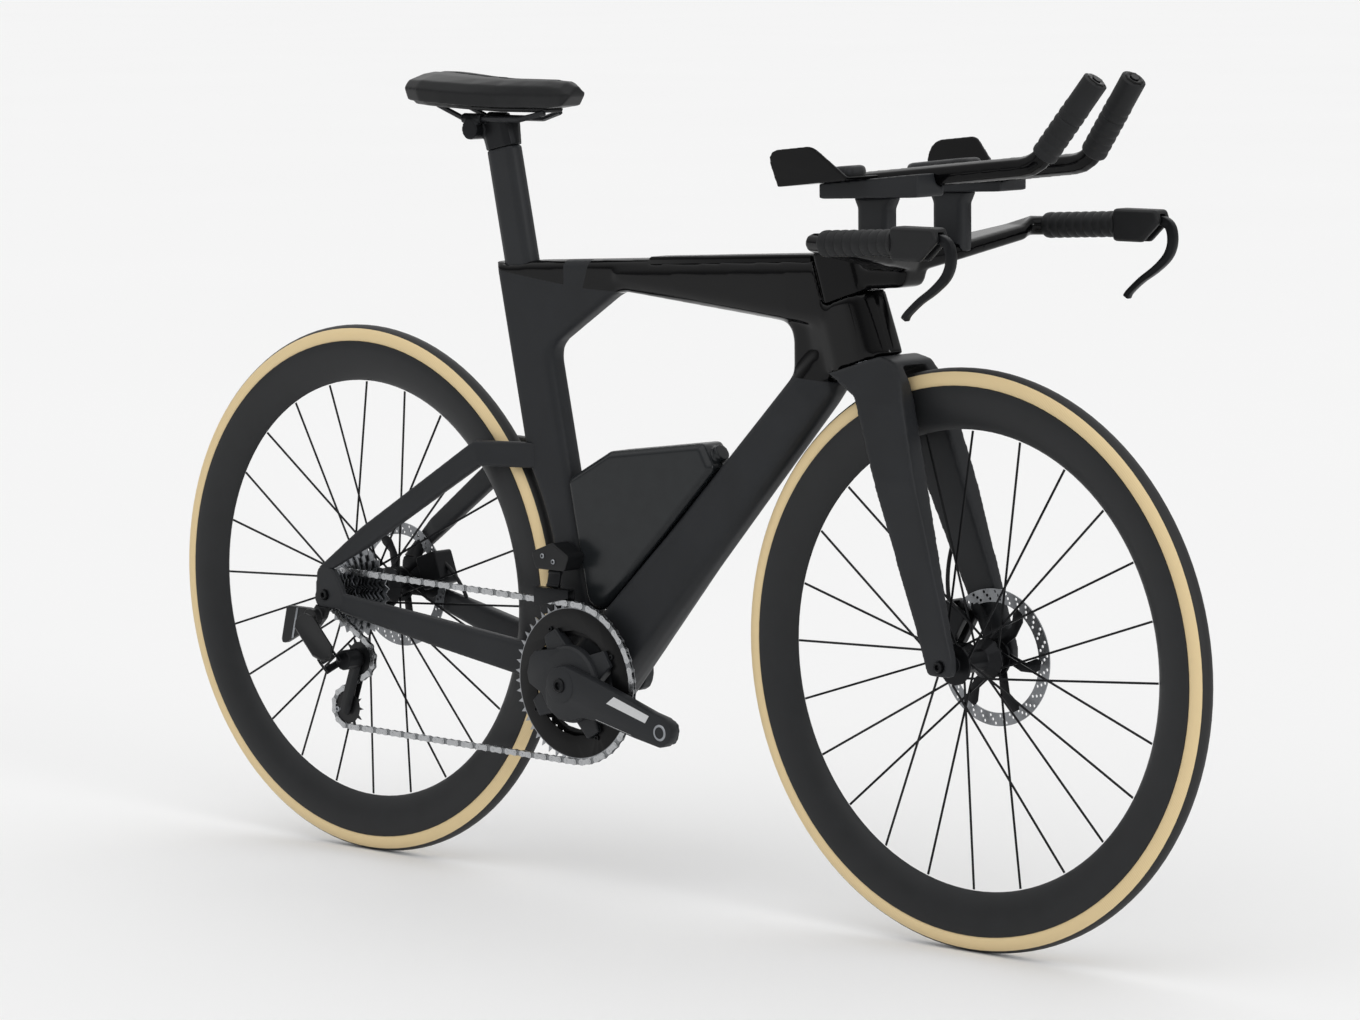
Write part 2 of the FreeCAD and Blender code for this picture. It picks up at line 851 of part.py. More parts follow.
def make_frame_bearings():
    """Headset bearings and bottom bracket cups."""
    inner = steerer_radius + running_gap
    upper = bushing(steer_foot, upper_bearing_radius, inner, head_top - bearing_height, head_top, steer_up)
    lower = bushing(steer_foot, lower_bearing_radius, inner, fork_length, fork_length + bearing_height,
                    steer_up)
    outer = bb_shell_half + bb_flange
    cup = bushing(bb, bb_bore_radius, spindle_radius + running_gap, outer - bb_cup_length, outer)
    return Part.makeCompound([upper, lower, cup, mirrored(cup)])


def make_seat_stay(frame):
    """Left seat stay, from a shoulder on the seat tube down to the dropout."""
    foot_y = (rear_spacing + dropout_thickness) / 2
    tube_rear = meet(seat_rear_line, (V(0, 0, stay_shoulder_height), level))
    root = tube_rear + V(stay_root_sink, stay_root_y, 0)
    shoulder = tube_rear + V(-stay_shoulder_back, stay_shoulder_y, 0)
    middle = rear_axle + V(stay_mid_ahead, stay_mid_y, stay_mid_rise)
    end = rear_axle + V(0, foot_y, stay_end_lift)
    first = (shoulder - root).normalize()
    second = (middle - shoulder).normalize()
    third = (end - middle).normalize()
    cuts = [section(root, first, stay_root_deep, stay_root_wide, stay_root_wide - tube_inset)]
    cuts.append(section(shoulder, first + second, stay_root_deep, stay_wide, stay_corner))
    cuts.append(section(middle, second + third, stay_deep, stay_wide, stay_corner))
    cuts.append(section(end, -upright, stay_deep, dropout_thickness / 2, stay_corner))
    return faceted(cuts).cut(frame)


def make_chain_stay(frame, seat_stay):
    """Left chain stay with its dropout."""
    inner_y = rear_spacing / 2
    foot_y = inner_y + dropout_thickness / 2
    root = bb + V(-chain_root_back, chain_root_y, chain_root_rise)
    neck = bb + V(-chain_neck_back, chain_neck_y, chain_neck_rise)
    middle = rear_axle + V(chain_mid_ahead, chain_mid_y, -chain_mid_drop)
    end = rear_axle + V(chain_end_setback, foot_y, -dropout_low / 2)
    first = (neck - root).normalize()
    second = (middle - neck).normalize()
    third = (end - middle).normalize()
    cuts = [section(root, first, chain_root_deep, chain_wide, chain_corner)]
    cuts.append(section(neck, first + second, chain_root_deep, chain_wide, chain_corner))
    cuts.append(section(middle, second + third, chain_mid_deep, chain_wide, chain_corner))
    cuts.append(section(end, -level, chain_end_deep, dropout_thickness / 2, stay_corner))
    plate = [(rear_axle + V(dropout_front, 0, -dropout_low), dropout_round)]
    plate.append((rear_axle + V(dropout_front, 0, dropout_round), dropout_round))
    plate.append((rear_axle + V(stay_deep, 0, dropout_top), dropout_round))
    plate.append((rear_axle + V(-stay_deep, 0, dropout_top), dropout_round))
    plate.append((rear_axle + V(-dropout_rear, 0, -dropout_low), dropout_round))
    stay = faceted(cuts).fuse(slab(plate, inner_y, inner_y + dropout_thickness))
    stay = stay.cut(rod_hole(rear_axle, axle_radius, inner_y - overrun, inner_y + rear_spacing))
    return stay.cut(frame).cut(seat_stay).removeSplitter()


def make_fork():
    """Fork: two blade legs under a crown, with the steerer."""
    seam = fork_length - seam_gap
    tip = front_axle
    middle = front_axle + (steer_point(seam, 0) - front_axle) * leg_mid_share
    side = [(steer_point(seam, -seam_rear), 0), (steer_point(seam, head_front_low), corner_radius)]
    side.append((steer_point(seam - corner_radius, crown_front), corner_radius))
    side.append((steer_point(seam - leg_top_drop, leg_top_front), corner_radius))
    side.append((tip + V(leg_tip_front, 0, leg_tip_low), corner_radius))
    side.append((tip + V(leg_tip_front, 0, -leg_tip_low), leg_tip_low / 2))
    side.append((tip + V(-leg_tip_rear, 0, -leg_tip_low), leg_tip_low / 2))
    side.append((tip + V(-leg_tip_rear - leg_tip_low, 0, leg_tip_low * 2), corner_radius))
    side.append((steer_point(seam - leg_top_drop, leg_top_rear), corner_radius))
    reach = fork_tip_half + overrun
    blade = slab(side, -reach, reach)
    top_z = steer_point(seam, crown_front).z + overrun
    low_z = tip.z - leg_tip_low - overrun
    shoulder_z = steer_point(seam - crown_shoulder_drop, 0).z
    hub_half = front_spacing / 2
    front_view = [(crown_half, top_z), (crown_shoulder_half, shoulder_z), (leg_mid_half, middle.z)]
    front_view += [(fork_tip_half, tip.z + leg_tip_low * 2), (fork_tip_half, low_z), (hub_half, low_z)]
    front_view += [(hub_half, tip.z + leg_tip_low * 2), (leg_slot_top, shoulder_z), (leg_slot_top, top_z)]
    reach_x = crown_front * 2
    start = steer_point(seam, -reach_x).x
    depth = V(tip.x + reach_x - start, 0, 0)
    leg = prism([V(start, y, z) for y, z in front_view], depth)
    bridge = [V(start, crown_half, top_z), V(start, crown_shoulder_half, shoulder_z)]
    bridge += [V(start, -crown_shoulder_half, shoulder_z), V(start, -crown_half, top_z)]
    mask = leg.fuse(mirrored(leg)).fuse(prism(bridge, depth)).removeSplitter()
    fork = blade.common(mask)
    fork = fork.cut(shaft(front_axle, tyre_radius + wheel_gap - seam_gap, -leg_slot_top, leg_slot_top))
    fork = fork.cut(rod_hole(front_axle, axle_radius, -reach, reach))
    steerer = shaft(steer_foot, steerer_radius, seam - bearing_height, head_top + stem_height - overrun,
                    steer_up)
    return fork.fuse(steerer).removeSplitter()


def make_tyre(axle):
    """Road tyre with a rounded tread, open where it seats on the rim."""
    half = [(rim_bed_radius, rim_bed_half), (rim_edge_radius, tyre_half), (tread_edge_radius, tyre_half)]
    half.append((tyre_radius, tread_half))
    return turned(half + [(r, -y) for r, y in reversed(half)], axle, wheel_sides)


def make_rim(axle):
    """Deep rim that tapers in to the spoke bed."""
    half = [(rim_bed_radius, rim_bed_half), (rim_edge_radius, tyre_half),
            (rim_inner_radius, rim_inner_half)]
    return turned(half + [(r, -y) for r, y in reversed(half)], axle, wheel_sides)


def make_spokes(axle, left, right, hub):
    """Bladed spokes, crossed in pairs, from both hub flanges to the rim."""
    blades = []
    step = 360 / spoke_count
    cross = step * 2.5
    for i in range(spoke_count):
        flange_y = left if i % 2 else -right
        lean = cross if (i // 2) % 2 else -cross
        foot_way = direction(i * step + lean)
        rim_way = direction(i * step)
        stand = spoke_thick if lean > 0 else -spoke_thick
        foot = axle + foot_way * flange_radius + V(0, flange_y + stand * spoke_stand_share, 0)
        tip = axle + rim_way * (rim_inner_radius - spoke_thick)
        run = (tip - foot).normalize()
        thick = run.cross(V(0, 1, 0)).normalize()
        wide = thick.cross(run)
        corners = [thick * (spoke_width / 2) + wide * (spoke_thick / 2)]
        corners.append(thick * (-spoke_width / 2) + wide * (spoke_thick / 2))
        corners.append(thick * (-spoke_width / 2) - wide * (spoke_thick / 2))
        corners.append(thick * (spoke_width / 2) - wide * (spoke_thick / 2))
        blades.append(prism([foot + c for c in corners], tip - foot).cut(hub))
    return Part.makeCompound(blades)


def make_hub(axle, spacing, left, right, rotor_y, right_end):
    """Hub shell with two spoke flanges, a rotor boss on the left and a plain axle tube on the right."""
    half = spacing / 2
    side = flange_thick / 2
    top = flange_radius + flange_thick / 2
    taper = top - hub_waist_radius
    shape = [(hub_core_radius, -half), (hub_end_radius, -half), (hub_end_radius, -half + right_end)]
    shape += [(hub_seat_radius, -half + right_end), (hub_seat_radius, -right - side), (top, -right - side)]
    shape += [(top, -right + side), (hub_waist_radius, -right + side + taper)]
    shape += [(hub_waist_radius, left - side - taper), (top, left - side), (top, left + side)]
    shape += [(rotor_boss_radius, left + side), (rotor_boss_radius, rotor_y + flange_thick)]
    shape += [(hub_end_radius, half), (hub_core_radius, half)]
    return turned(shape, axle, hub_sides).cut(shaft(axle, hub_bore_radius, -half, half))


def make_rotor(axle, y):
    """Disc rotor: braking track, carrier ring and slanted arms."""
    low = y - rotor_thick / 2
    high = y + rotor_thick / 2
    rotor = tube(axle, rotor_radius, rotor_radius - rotor_track, low, high, sides=rotor_sides)
    rotor = rotor.fuse(tube(axle, rotor_hub_radius + rotor_arm_half, rotor_boss_radius, low, high,
                            sides=hub_sides))
    for i in range(rotor_arm_count):
        way = direction(i * 360 / rotor_arm_count)
        lean = direction(i * 360 / rotor_arm_count + rotor_arm_lean)
        root = axle + way * rotor_hub_radius + V(0, low, 0)
        end = axle + lean * (rotor_radius - rotor_track / 2) + V(0, low, 0)
        across = (end - root).cross(V(0, 1, 0)).normalize() * rotor_arm_half
        rotor = rotor.fuse(prism([root + across, end + across / 2, end - across / 2, root - across],
                                 V(0, rotor_thick, 0)))
    return rotor.removeSplitter()


def make_thru_axle(axle, half):
    """Thru axle with a flat head on the left."""
    rod = shaft(axle, axle_radius, -half, half)
    return rod.fuse(drum(axle, axle_head_radius, half, half + axle_head)).removeSplitter()


def pitch_radius(teeth):
    """Radius at which chain rollers sit on a sprocket."""
    return chain_pitch / (2 * math.sin(math.pi / teeth))


def sprocket(centre, teeth, thick, valley, sharp=False):
    """Toothed disc with one valley at a given angle."""
    root = pitch_radius(teeth) - roller_radius - tooth_root_gap
    tip = pitch_radius(teeth) + tooth_tip_rise
    step = 360 / teeth
    root_half = root * math.sin(math.pi / teeth) - valley_half
    points = []
    for i in range(teeth):
        out = direction(valley + (i + 0.5) * step)
        along = direction(valley + (i + 0.5) * step + 90)
        if sharp:
            points.append(centre + direction(valley + i * step) * root)
            points.append(centre + out * tip)
            continue
        points.append(centre + out * root - along * root_half)
        points.append(centre + out * tip)
        points.append(centre + out * root + along * root_half)
    low = V(0, thick / 2, 0)
    return prism([point - low for point in points], V(0, thick, 0))


chain_plane = V(0, -chain_line, 0)
guide_pulley = rear_axle + V(guide_pulley_ahead, -chain_line, -guide_pulley_drop)
chain_ring = bb + chain_plane
drive_cog = rear_axle + chain_plane


def chain_course(cage_angle):
    """Closed chain path as arcs and straight runs, counted in pitches."""
    tension = guide_pulley + direction(cage_angle) * cage_length
    wheels = [(chain_ring, ring_teeth, 1), (drive_cog, drive_cog_teeth, 1)]
    wheels += [(guide_pulley, pulley_teeth, -1), (tension, pulley_teeth, 1)]
    tangents = []
    for i, (centre, teeth, turn) in enumerate(wheels):
        other, other_teeth, other_turn = wheels[(i + 1) % len(wheels)]
        gap = other - centre
        share = (turn * pitch_radius(teeth) - other_turn * pitch_radius(other_teeth)) / gap.Length
        tangents.append(math.degrees(math.atan2(gap.z, gap.x) - math.acos(share)))
    course = []
    for i, (centre, teeth, turn) in enumerate(wheels):
        arrive, leave = tangents[i - 1], tangents[i]
        wrap = (turn * (leave - arrive)) % 360
        course.append(("arc", centre, teeth, turn, arrive, wrap * teeth / 360))
        other, other_teeth, other_turn = wheels[(i + 1) % len(wheels)]
        out = direction(leave)
        start = centre + out * (turn * pitch_radius(teeth))
        end = other + out * (other_turn * pitch_radius(other_teeth))
        course.append(("run", start, end, 0, 0, (end - start).Length / chain_pitch))
    return course


def course_length(cage_angle):
    """Length of the chain path in pitches."""
    return sum(leg[-1] for leg in chain_course(cage_angle))


def settled_cage_angle():
    """Cage angle at which the chain is a whole, even number of links."""
    links = 2 * round(course_length(cage_guess) / 2)
    low, high = cage_guess - cage_swing, cage_guess + cage_swing
    rising = course_length(high) > course_length(low)
    for _ in range(60):
        middle = (low + high) / 2
        if (course_length(middle) > links) == rising:
            high = middle
        else:
            low = middle
    return (low + high) / 2, links


cage_angle, link_count = settled_cage_angle()
tension_pulley = guide_pulley + direction(cage_angle) * cage_length
course = chain_course(cage_angle)


def course_point(place):
    """Roller centre at a distance along the chain path, in pitches."""
    for kind, first, second, turn, arrive, length in course:
        if place <= length:
            if kind == "run":
                return first + (second - first) * (place / length)
            angle = arrive + turn * place * 360 / second
            return first + direction(angle) * (turn * pitch_radius(second))
        place -= length
    return course_point(place)


def valley_angle(wheel):
    """Angle of the first roller that lies on a sprocket, counted from the ring."""
    passed = sum(leg[-1] for leg in course[:2 * wheel])
    kind, centre, teeth, turn, arrive, length = course[2 * wheel]
    first = math.ceil(passed) - passed
    angle = arrive + turn * first * 360 / teeth
    return angle if turn > 0 else angle + 180


def make_chain():
    """Roller chain in mesh with ring, cog and both pulleys: inner and outer links in turn."""
    rollers = [course_point(i) for i in range(link_count)]
    links = []
    for i, start in enumerate(rollers):
        end = rollers[(i + 1) % link_count]
        along = (end - start).normalize()
        if i % 2:
            for y in (outer_plate_in, -outer_plate_out):
                links.append(link_block(start - along * plate_reach, end + along * plate_reach, y,
                                        outer_plate_wall))
            continue
        inner = link_block(start - along * roller_half, end + along * roller_half, -inner_plate_out,
                           inner_plate_out * 2)
        room = link_block(start + along * roller_half, end - along * roller_half, -inner_plate_in,
                          inner_plate_in * 2, overrun)
        links.append(inner.cut(room))
    return Part.makeCompound(links)


def link_block(start, end, low_y, width, grow=0):
    """Flat block along the chain between two places, from one side of it to another."""
    along = (end - start).normalize()
    up = V(-along.z, 0, along.x) * (plate_half + grow)
    corners = [start + up, end + up, end - up, start - up]
    return prism([point + V(0, low_y, 0) for point in corners], V(0, width, 0))


def make_cassette():
    """One-piece cassette on its driver body."""
    index = cog_teeth.index(drive_cog_teeth)
    cogs = []
    for i, teeth in enumerate(cog_teeth):
        y = -chain_line + (i - index) * cog_spacing
        valley = valley_angle(1) if i == index else 0
        cogs.append(sprocket(rear_axle + V(0, y, 0), teeth, cog_thick, valley, i != index))
    low = -chain_line - index * cog_spacing - cog_thick
    high = -chain_line + (len(cog_teeth) - 1 - index) * cog_spacing + cog_thick
    core = drum(rear_axle, driver_radius, low, high, sides=driver_sides)
    for cog in cogs:
        core = core.fuse(cog)
    return core.cut(shaft(rear_axle, hub_seat_radius + running_gap, low - overrun, high + overrun))


def ring_body(teeth, land, y, valley, sharp):
    """Chainring: a toothed band with a land inside it for the spider."""
    centre = bb + V(0, y, 0)
    hole = pitch_radius(teeth) - land
    disc = sprocket(centre, teeth, ring_thick, valley, sharp)
    return disc.cut(drum(centre, hole, -ring_thick, ring_thick, sides=rotor_sides))


def make_chainrings():
    """Large and small chainring."""
    outer = ring_body(ring_teeth, ring_land, -chain_line, valley_angle(0), False)
    inner = ring_body(small_ring_teeth, small_ring_land, -chain_line + ring_spacing, 0, True)
    return Part.makeCompound([outer, inner])


def crank_arm(inner_y, outer_y, way):
    """Arm from the spindle to the pedal thread, on the right side."""
    across = V(-way.z, 0, way.x)
    tip = bb + way * crank_length
    shape = [(bb + across * crank_root_half - way * crank_root_half, crank_root_half - crank_round)]
    shape.append((tip + across * crank_tip_half + way * crank_tip_half, crank_tip_half - crank_round))
    shape.append((tip - across * crank_tip_half + way * crank_tip_half, crank_tip_half - crank_round))
    shape.append((bb - across * crank_root_half - way * crank_root_half, crank_root_half - crank_round))
    arm = slab(shape, -outer_y, -inner_y)
    arm = rounded_edges(arm, crank_round, lambda e: abs(e.CenterOfMass.y + outer_y) < slide_gap)
    return arm.cut(shaft(tip, pedal_hole_radius, -outer_y - overrun, -inner_y + overrun))


def make_right_crank(rings):
    """Right arm, and the spider on its inner face that carries the chainrings."""
    arm = crank_arm(crank_inner_y, crank_outer_y, direction(crank_angle))
    spider = drum(bb, spider_boss_radius, -crank_inner_y, -chain_line + spider_thick)
    reach = pitch_radius(ring_teeth) - ring_land + spider_lap
    base = bb + V(0, -crank_inner_y, 0)
    for i in range(spider_arm_count):
        way = direction(crank_angle + 45 + i * 360 / spider_arm_count)
        across = V(-way.z, 0, way.x)
        root = base + way * bb_bore_radius
        shape = [root + across * spider_arm_half * 2, base + way * reach + across * spider_arm_half]
        shape += [base + way * reach - across * spider_arm_half, root - across * spider_arm_half * 2]
        spider = spider.fuse(prism(shape, V(0, crank_inner_y - chain_line + ring_spacing, 0)))
    return Part.makeCompound([arm, spider.cut(rings).cut(make_spindle()).removeSplitter()])


def make_spindle():
    """Spindle through the bottom bracket, from one crank arm to the other."""
    return shaft(bb, spindle_radius, -crank_inner_y, crank_inner_y)


def make_left_crank():
    """Left arm, half a turn from the right one, clamped on the spindle's end."""
    arm = mirrored(crank_arm(crank_inner_y, crank_outer_y, direction(crank_angle + 180)))
    boss = bushing(bb, crank_root_half - crank_round, spindle_radius, bb_shell_half + bb_flange + seam_gap,
                   crank_inner_y)
    return arm.fuse(boss).removeSplitter()


def make_seatpost():
    """Aero post, from inside the seat tube up to the saddle head."""
    return faceted([post_section(post_bottom, 0), post_section(post_top, 0)])


def make_seatpost_head():
    """Cap on the post with a cross barrel that carries the rail clamps."""
    base = seat_foot + seat_up * post_top
    top = base + seat_up * head_height
    cap = faceted([section(base, seat_up, post_depth / 2, post_half, post_corner),
                section(top, seat_up, post_depth / 2, head_half_width, post_corner)])
    barrel = V(top.x - head_barrel_back, 0, rail_level - head_barrel_radius)
    cap = cap.fuse(drum(barrel, head_barrel_radius, -head_barrel_half, head_barrel_half))
    for side in (rail_spread, -rail_spread):
        clamp = V(barrel.x, side, rail_level)
        cap = cap.fuse(drum(clamp, rail_clamp_radius, -rail_clamp_half, rail_clamp_half, level,
                            barrel_sides))
    for rail in make_rails().Solids:
        cap = cap.cut(rail)
    return cap.removeSplitter()


def rail_path():
    """Corner points of the left saddle rail, tail to tip, with both ends half sunk in the shell."""
    y = rail_spread
    tail = saddle_low((saddle_tip_x - rail_tail_x) / saddle_length) - shell_thick
    tip = saddle_low((saddle_tip_x - rail_tip_x) / saddle_length) - shell_thick
    points = [V(rail_tail_x, y, tail), V(rail_rear_x, y, rail_level)]
    return points + [V(rail_front_x, y, rail_level), V(rail_tip_x, rail_tip_spread, tip)]


def swept(points, bend, radius, sides):
    """Many-sided rod along straight runs joined by arcs."""
    path = [points[0]]
    for before, corner, after in zip(points, points[1:], points[2:]):
        back = (before - corner).normalize()
        ahead = (after - corner).normalize()
        half = back.getAngle(ahead) / 2
        centre = corner + (back + ahead).normalize() * (bend / math.sin(half))
        start = corner + back * (bend / math.tan(half)) - centre
        end = corner + ahead * (bend / math.tan(half)) - centre
        turn = math.pi - 2 * half
        for k in range(bend_steps + 1):
            lead = math.sin(turn * (1 - k / bend_steps)) / math.sin(turn)
            follow = math.sin(turn * k / bend_steps) / math.sin(turn)
            path.append(centre + start * lead + end * follow)
    path.append(points[-1])
    rows = []
    for i, point in enumerate(path):
        along = path[min(i + 1, len(path) - 1)] - path[max(i - 1, 0)]
        rows.append(ring_of_points(point, along, radius, sides))
    return faceted(rows)


def ring_of_points(centre, along, radius, sides):
    """Points of a regular ring round a direction."""
    normal = V(along)
    normal.normalize()
    across = normal.cross(V(0, 1, 0)).normalize()
    upward = normal.cross(across)
    row = []
    for i in range(sides):
        turn = math.radians(i * 360 / sides)
        row.append(centre + (across * math.cos(turn) + upward * math.sin(turn)) * radius)
    return row


def sleeve(start, end, radius, end_radius):
    """Many-sided tapered sleeve, solid until its rod is cut from it."""
    way = end - start
    return faceted([ring_of_points(start, way, radius, rod_sides),
                    ring_of_points(end, way, end_radius, rod_sides)])


def make_rails():
    """Pair of saddle rails."""
    return both_sides(swept(rail_path(), rail_bend, rail_radius, wire_sides))


def saddle_low(place, lift_share=0):
    """Height of the padding's underside at a place along the saddle."""
    thick = saddle_top - saddle_skirt
    return saddle_skirt + saddle_kick * max(0, place * 2 - 1) + thick * lift_share


def saddle_section(place, width_share, drop_share, lift_share):
    """Cross-section of the saddle: flat underside, drawn-in sides, crowned top, sunk channel."""
    x = saddle_tip_x - place * saddle_length
    half = saddle_wing_half * width_share
    low = saddle_low(place, lift_share)
    top = saddle_low(place) + saddle_top - saddle_skirt - drop_share * saddle_crown
    sunk = channel_depth * channel_at(place)
    groove = channel_half * min(1, width_share / channel_width_share)
    side = [(half * foot_share, low), (half, low + (top - low) * bulge_share),
            (half * brow_share, top - saddle_crown)]
    side.append((half * shoulder_share, top - saddle_crown * shoulder_drop_share))
    side += [(groove, top), (groove * groove_floor_share, top - sunk)]
    return [V(x, y, z) for y, z in side] + [V(x, -y, z) for y, z in reversed(side)]


def channel_at(place):
    """How deep the middle channel is at a place along the saddle, from none to full."""
    return max(0, min(1, (place - channel_start_share) / channel_run_share,
                      (channel_end_share - place) / channel_run_share))


def make_saddle_pad():
    """Padded cover: short nose, wide tail, with a channel along the middle."""
    shares = zip(station_shares, width_shares, nose_drop_shares, foot_lift_shares)
    return faceted([saddle_section(place, width, drop, lift) for place, width, drop, lift in shares])


def make_saddle_shell():
    """Carbon base plate that follows the underside of the padding."""
    rows = []
    for place, width in zip(station_shares[shell_start_count:shell_end_count],
                            width_shares[shell_start_count:shell_end_count]):
        x = saddle_tip_x - place * saddle_length
        half = saddle_wing_half * width * foot_share * shell_share
        high = saddle_low(place)
        low = high - shell_thick
        rows.append([V(x, half, high), V(x, half * shell_share, low), V(x, -half * shell_share, low),
                     V(x, -half, high)])
    return faceted(rows)


horn_way = V(horn_tip_x - bar_end_x, 0, horn_tip_z - horn_z).normalize()


def wing_section(x, y, z, chord, thick):
    """Base bar section: chord fore and aft, square to the bar's run across the bike."""
    return section(V(x, y, z), V(0, 1, 0), thick, chord, min(thick, chord) - tube_inset, V(1, 0, 0))


def make_base_bar():
    """Stem and base bar in one moulding: barrel, nose, swept wings and forward horns."""
    low = head_top + seam_gap
    barrel = drum(steer_foot, stem_barrel_radius, low, head_top + stem_height, steer_up)
    width = [(steer_point(low, -stem_barrel_radius), 0), (steer_point(low, stem_barrel_radius), 0)]
    width += [(steer_point(head_top + stem_height, stem_barrel_radius), 0)]
    width += [(steer_point(head_top + stem_height, -stem_barrel_radius), 0)]
    barrel = barrel.common(slab(width, -stem_half - tube_inset, stem_half + tube_inset))
    nose = [(steer_point(low, -stem_rear_reach + overrun), 0),
            (steer_point(low, head_front_top), corner_radius)]
    nose.append((V(stem_nose_x, 0, bar_centre_z - bar_centre_thick - stem_nose_drop), corner_radius))
    nose.append((V(bar_centre_x + bar_centre_chord, 0, bar_centre_z), corner_radius))
    nose.append((V(bar_centre_x, 0, bar_centre_z + bar_centre_thick - tube_inset), corner_radius))
    nose.append((steer_point(head_top + stem_height - tube_inset, -stem_rear_reach + overrun), 0))
    bar = barrel.fuse(rounded_edges(slab(nose, -stem_half, stem_half), core_round, side_edge))
    left = [wing_section(bar_centre_x, 0, bar_centre_z, bar_centre_chord, bar_centre_thick)]
    left.append(wing_section(bar_inner_x, bar_inner_y, bar_inner_z, bar_inner_chord, bar_inner_thick))
    left.append(wing_section(bar_outer_x, bar_outer_y, bar_outer_z, bar_outer_chord, bar_outer_thick))
    turn = V(bar_end_x - horn_radius, bar_half - horn_radius, horn_z)
    chord = (bar_outer_chord + horn_radius) / 2
    left.append(section(turn, V(1, 1, 0), horn_radius, chord, horn_radius - tube_inset, V(1, -1, 0)))
    for place in (V(bar_end_x + horn_radius, bar_half, horn_z), V(horn_tip_x, bar_half, horn_tip_z)):
        left.append(section(place, horn_way, horn_radius, horn_radius, horn_radius - tube_inset,
                            V(0, -1, 0)))
    wing = faceted(left)
    bar = bar.fuse(wing).fuse(mirrored(wing))
    bore = shaft(steer_foot, steerer_radius, head_top, head_top + stem_height - overrun, steer_up)
    return bar.cut(bore).removeSplitter()


def make_risers(bar, mounts, extensions):
    """Two columns between the base bar and the tilt mounts."""
    low = V(riser_x, riser_y, bar_inner_z)
    high = V(riser_x, riser_y, max(mount_rear_low, mount_front_low))
    neck = high - V(0, 0, riser_flare * 2)
    column = faceted([section(low, upright, riser_depth, riser_half, riser_corner),
                   section(neck, upright, riser_depth, riser_half, riser_corner),
                   section(high, upright, riser_depth + riser_flare, riser_half, riser_corner)])
    return both_sides(column.cut(bar).cut(mounts).cut(extensions))


def make_extension():
    """Left extension: a straight run, a bend and an upright grip end with a button pocket."""
    rod = swept([extension_rear, extension_bend, extension_tip], extension_bend_radius, extension_radius,
                rod_sides)
    way = grip_way()
    pocket = drum(extension_tip, button_radius + slide_gap, -button_sink - button_travel, overrun, way)
    return rod.cut(pocket)


def grip_way():
    """Direction of the left hand grip, up and forward."""
    return (extension_tip - extension_bend).normalize()


def make_button():
    """Left shift button, standing a little proud of the extension's end."""
    return drum(extension_tip, button_radius, -button_sink, button_height - button_sink, grip_way())


def make_extension_grip(extension):
    """Left tape sleeve on the upright end."""
    way = grip_way()
    start = extension_bend + way * grip_start
    return sleeve(start, extension_tip - way * button_height, grip_radius, grip_tip_radius).cut(extension)


cup_way = V(extension_bend.x - extension_rear.x, 0, extension_bend.z - extension_rear.z).normalize()
cup_up = V(-cup_way.z, 0, cup_way.x)


def extension_height(x):
    """Height of the extension's centre line at a place along the bike."""
    return extension_rear.z + cup_way.z / cup_way.x * (x - extension_rear.x)


def make_mount(extension):
    """Left tilt mount: a wedge on the riser that clamps the extension and carries the arm cup."""
    rear_top = V(mount_rear_x, 0, extension_height(mount_rear_x) + mount_top_lift)
    front_top = V(mount_front_x, 0, extension_height(mount_front_x) + mount_top_lift)
    shape = [(V(mount_rear_x, 0, mount_rear_low), mount_top_lift), (rear_top, 0), (front_top, 0)]
    shape.append((V(mount_front_x, 0, mount_front_low), mount_top_lift))
    return slab(shape, mount_inner_y, mount_outer_y).cut(extension)


def make_cup():
    """Left arm cup: a floor with a raised, flared outer wing."""
    base = V(cup_rear_x, 0, extension_height(cup_rear_x) + mount_top_lift)
    run = cup_way * ((cup_front_x - cup_rear_x) / cup_way.x)
    shape = [(cup_inner_y, 0), (cup_outer_y, 0), (cup_wing_y, cup_wing_rise)]
    shape += [(cup_wing_y - cup_wall, cup_wing_rise), (cup_outer_y - cup_wall, cup_wall),
              (cup_inner_y, cup_wall)]
    body = prism([base + V(0, y, 0) + cup_up * up for y, up in shape], run)
    side = [(base, 0), (base + cup_up * cup_wing_rise, cup_corner)]
    side += [(base + run * cup_top_share + cup_up * cup_wing_rise, cup_corner)]
    side += [(base + run + cup_up * cup_wall, 0), (base + run, 0)]
    return body.common(slab(side, 0, cup_wing_y))


def make_arm_pad():
    """Left arm pad: a cushion with drawn-in sides and a crowned top."""
    base = V((cup_rear_x + cup_front_x) / 2, 0, 0)
    base.z = extension_height(base.x) + mount_top_lift
    base = base + V(0, (cup_inner_y + cup_outer_y - cup_wall) / 2, 0) + cup_up * cup_wall
    deep = (cup_front_x - cup_rear_x) / 2 - pad_margin
    wide = (cup_outer_y - cup_inner_y - cup_wall) / 2 - pad_margin / 2
    rows = []
    for up_share, in_share in zip(pad_height_shares, pad_inset_shares):
        inset = pad_margin * in_share
        middle = base + cup_up * (pad_thick * up_share)
        rows.append(section(middle, cup_up, wide - inset, deep - inset, pad_corner - inset, V(1, 0, 0)))
    return faceted(rows)


def make_bar_grip(bar):
    """Left tape sleeve on the base bar's horn."""
    root = V(bar_end_x, bar_half, horn_z)
    start = root + horn_way * (bar_grip_rear_x - bar_end_x)
    end = root + horn_way * (hood_rear_x - bar_end_x)
    return sleeve(start, end, bar_grip_radius - tube_inset, bar_grip_radius).cut(bar)


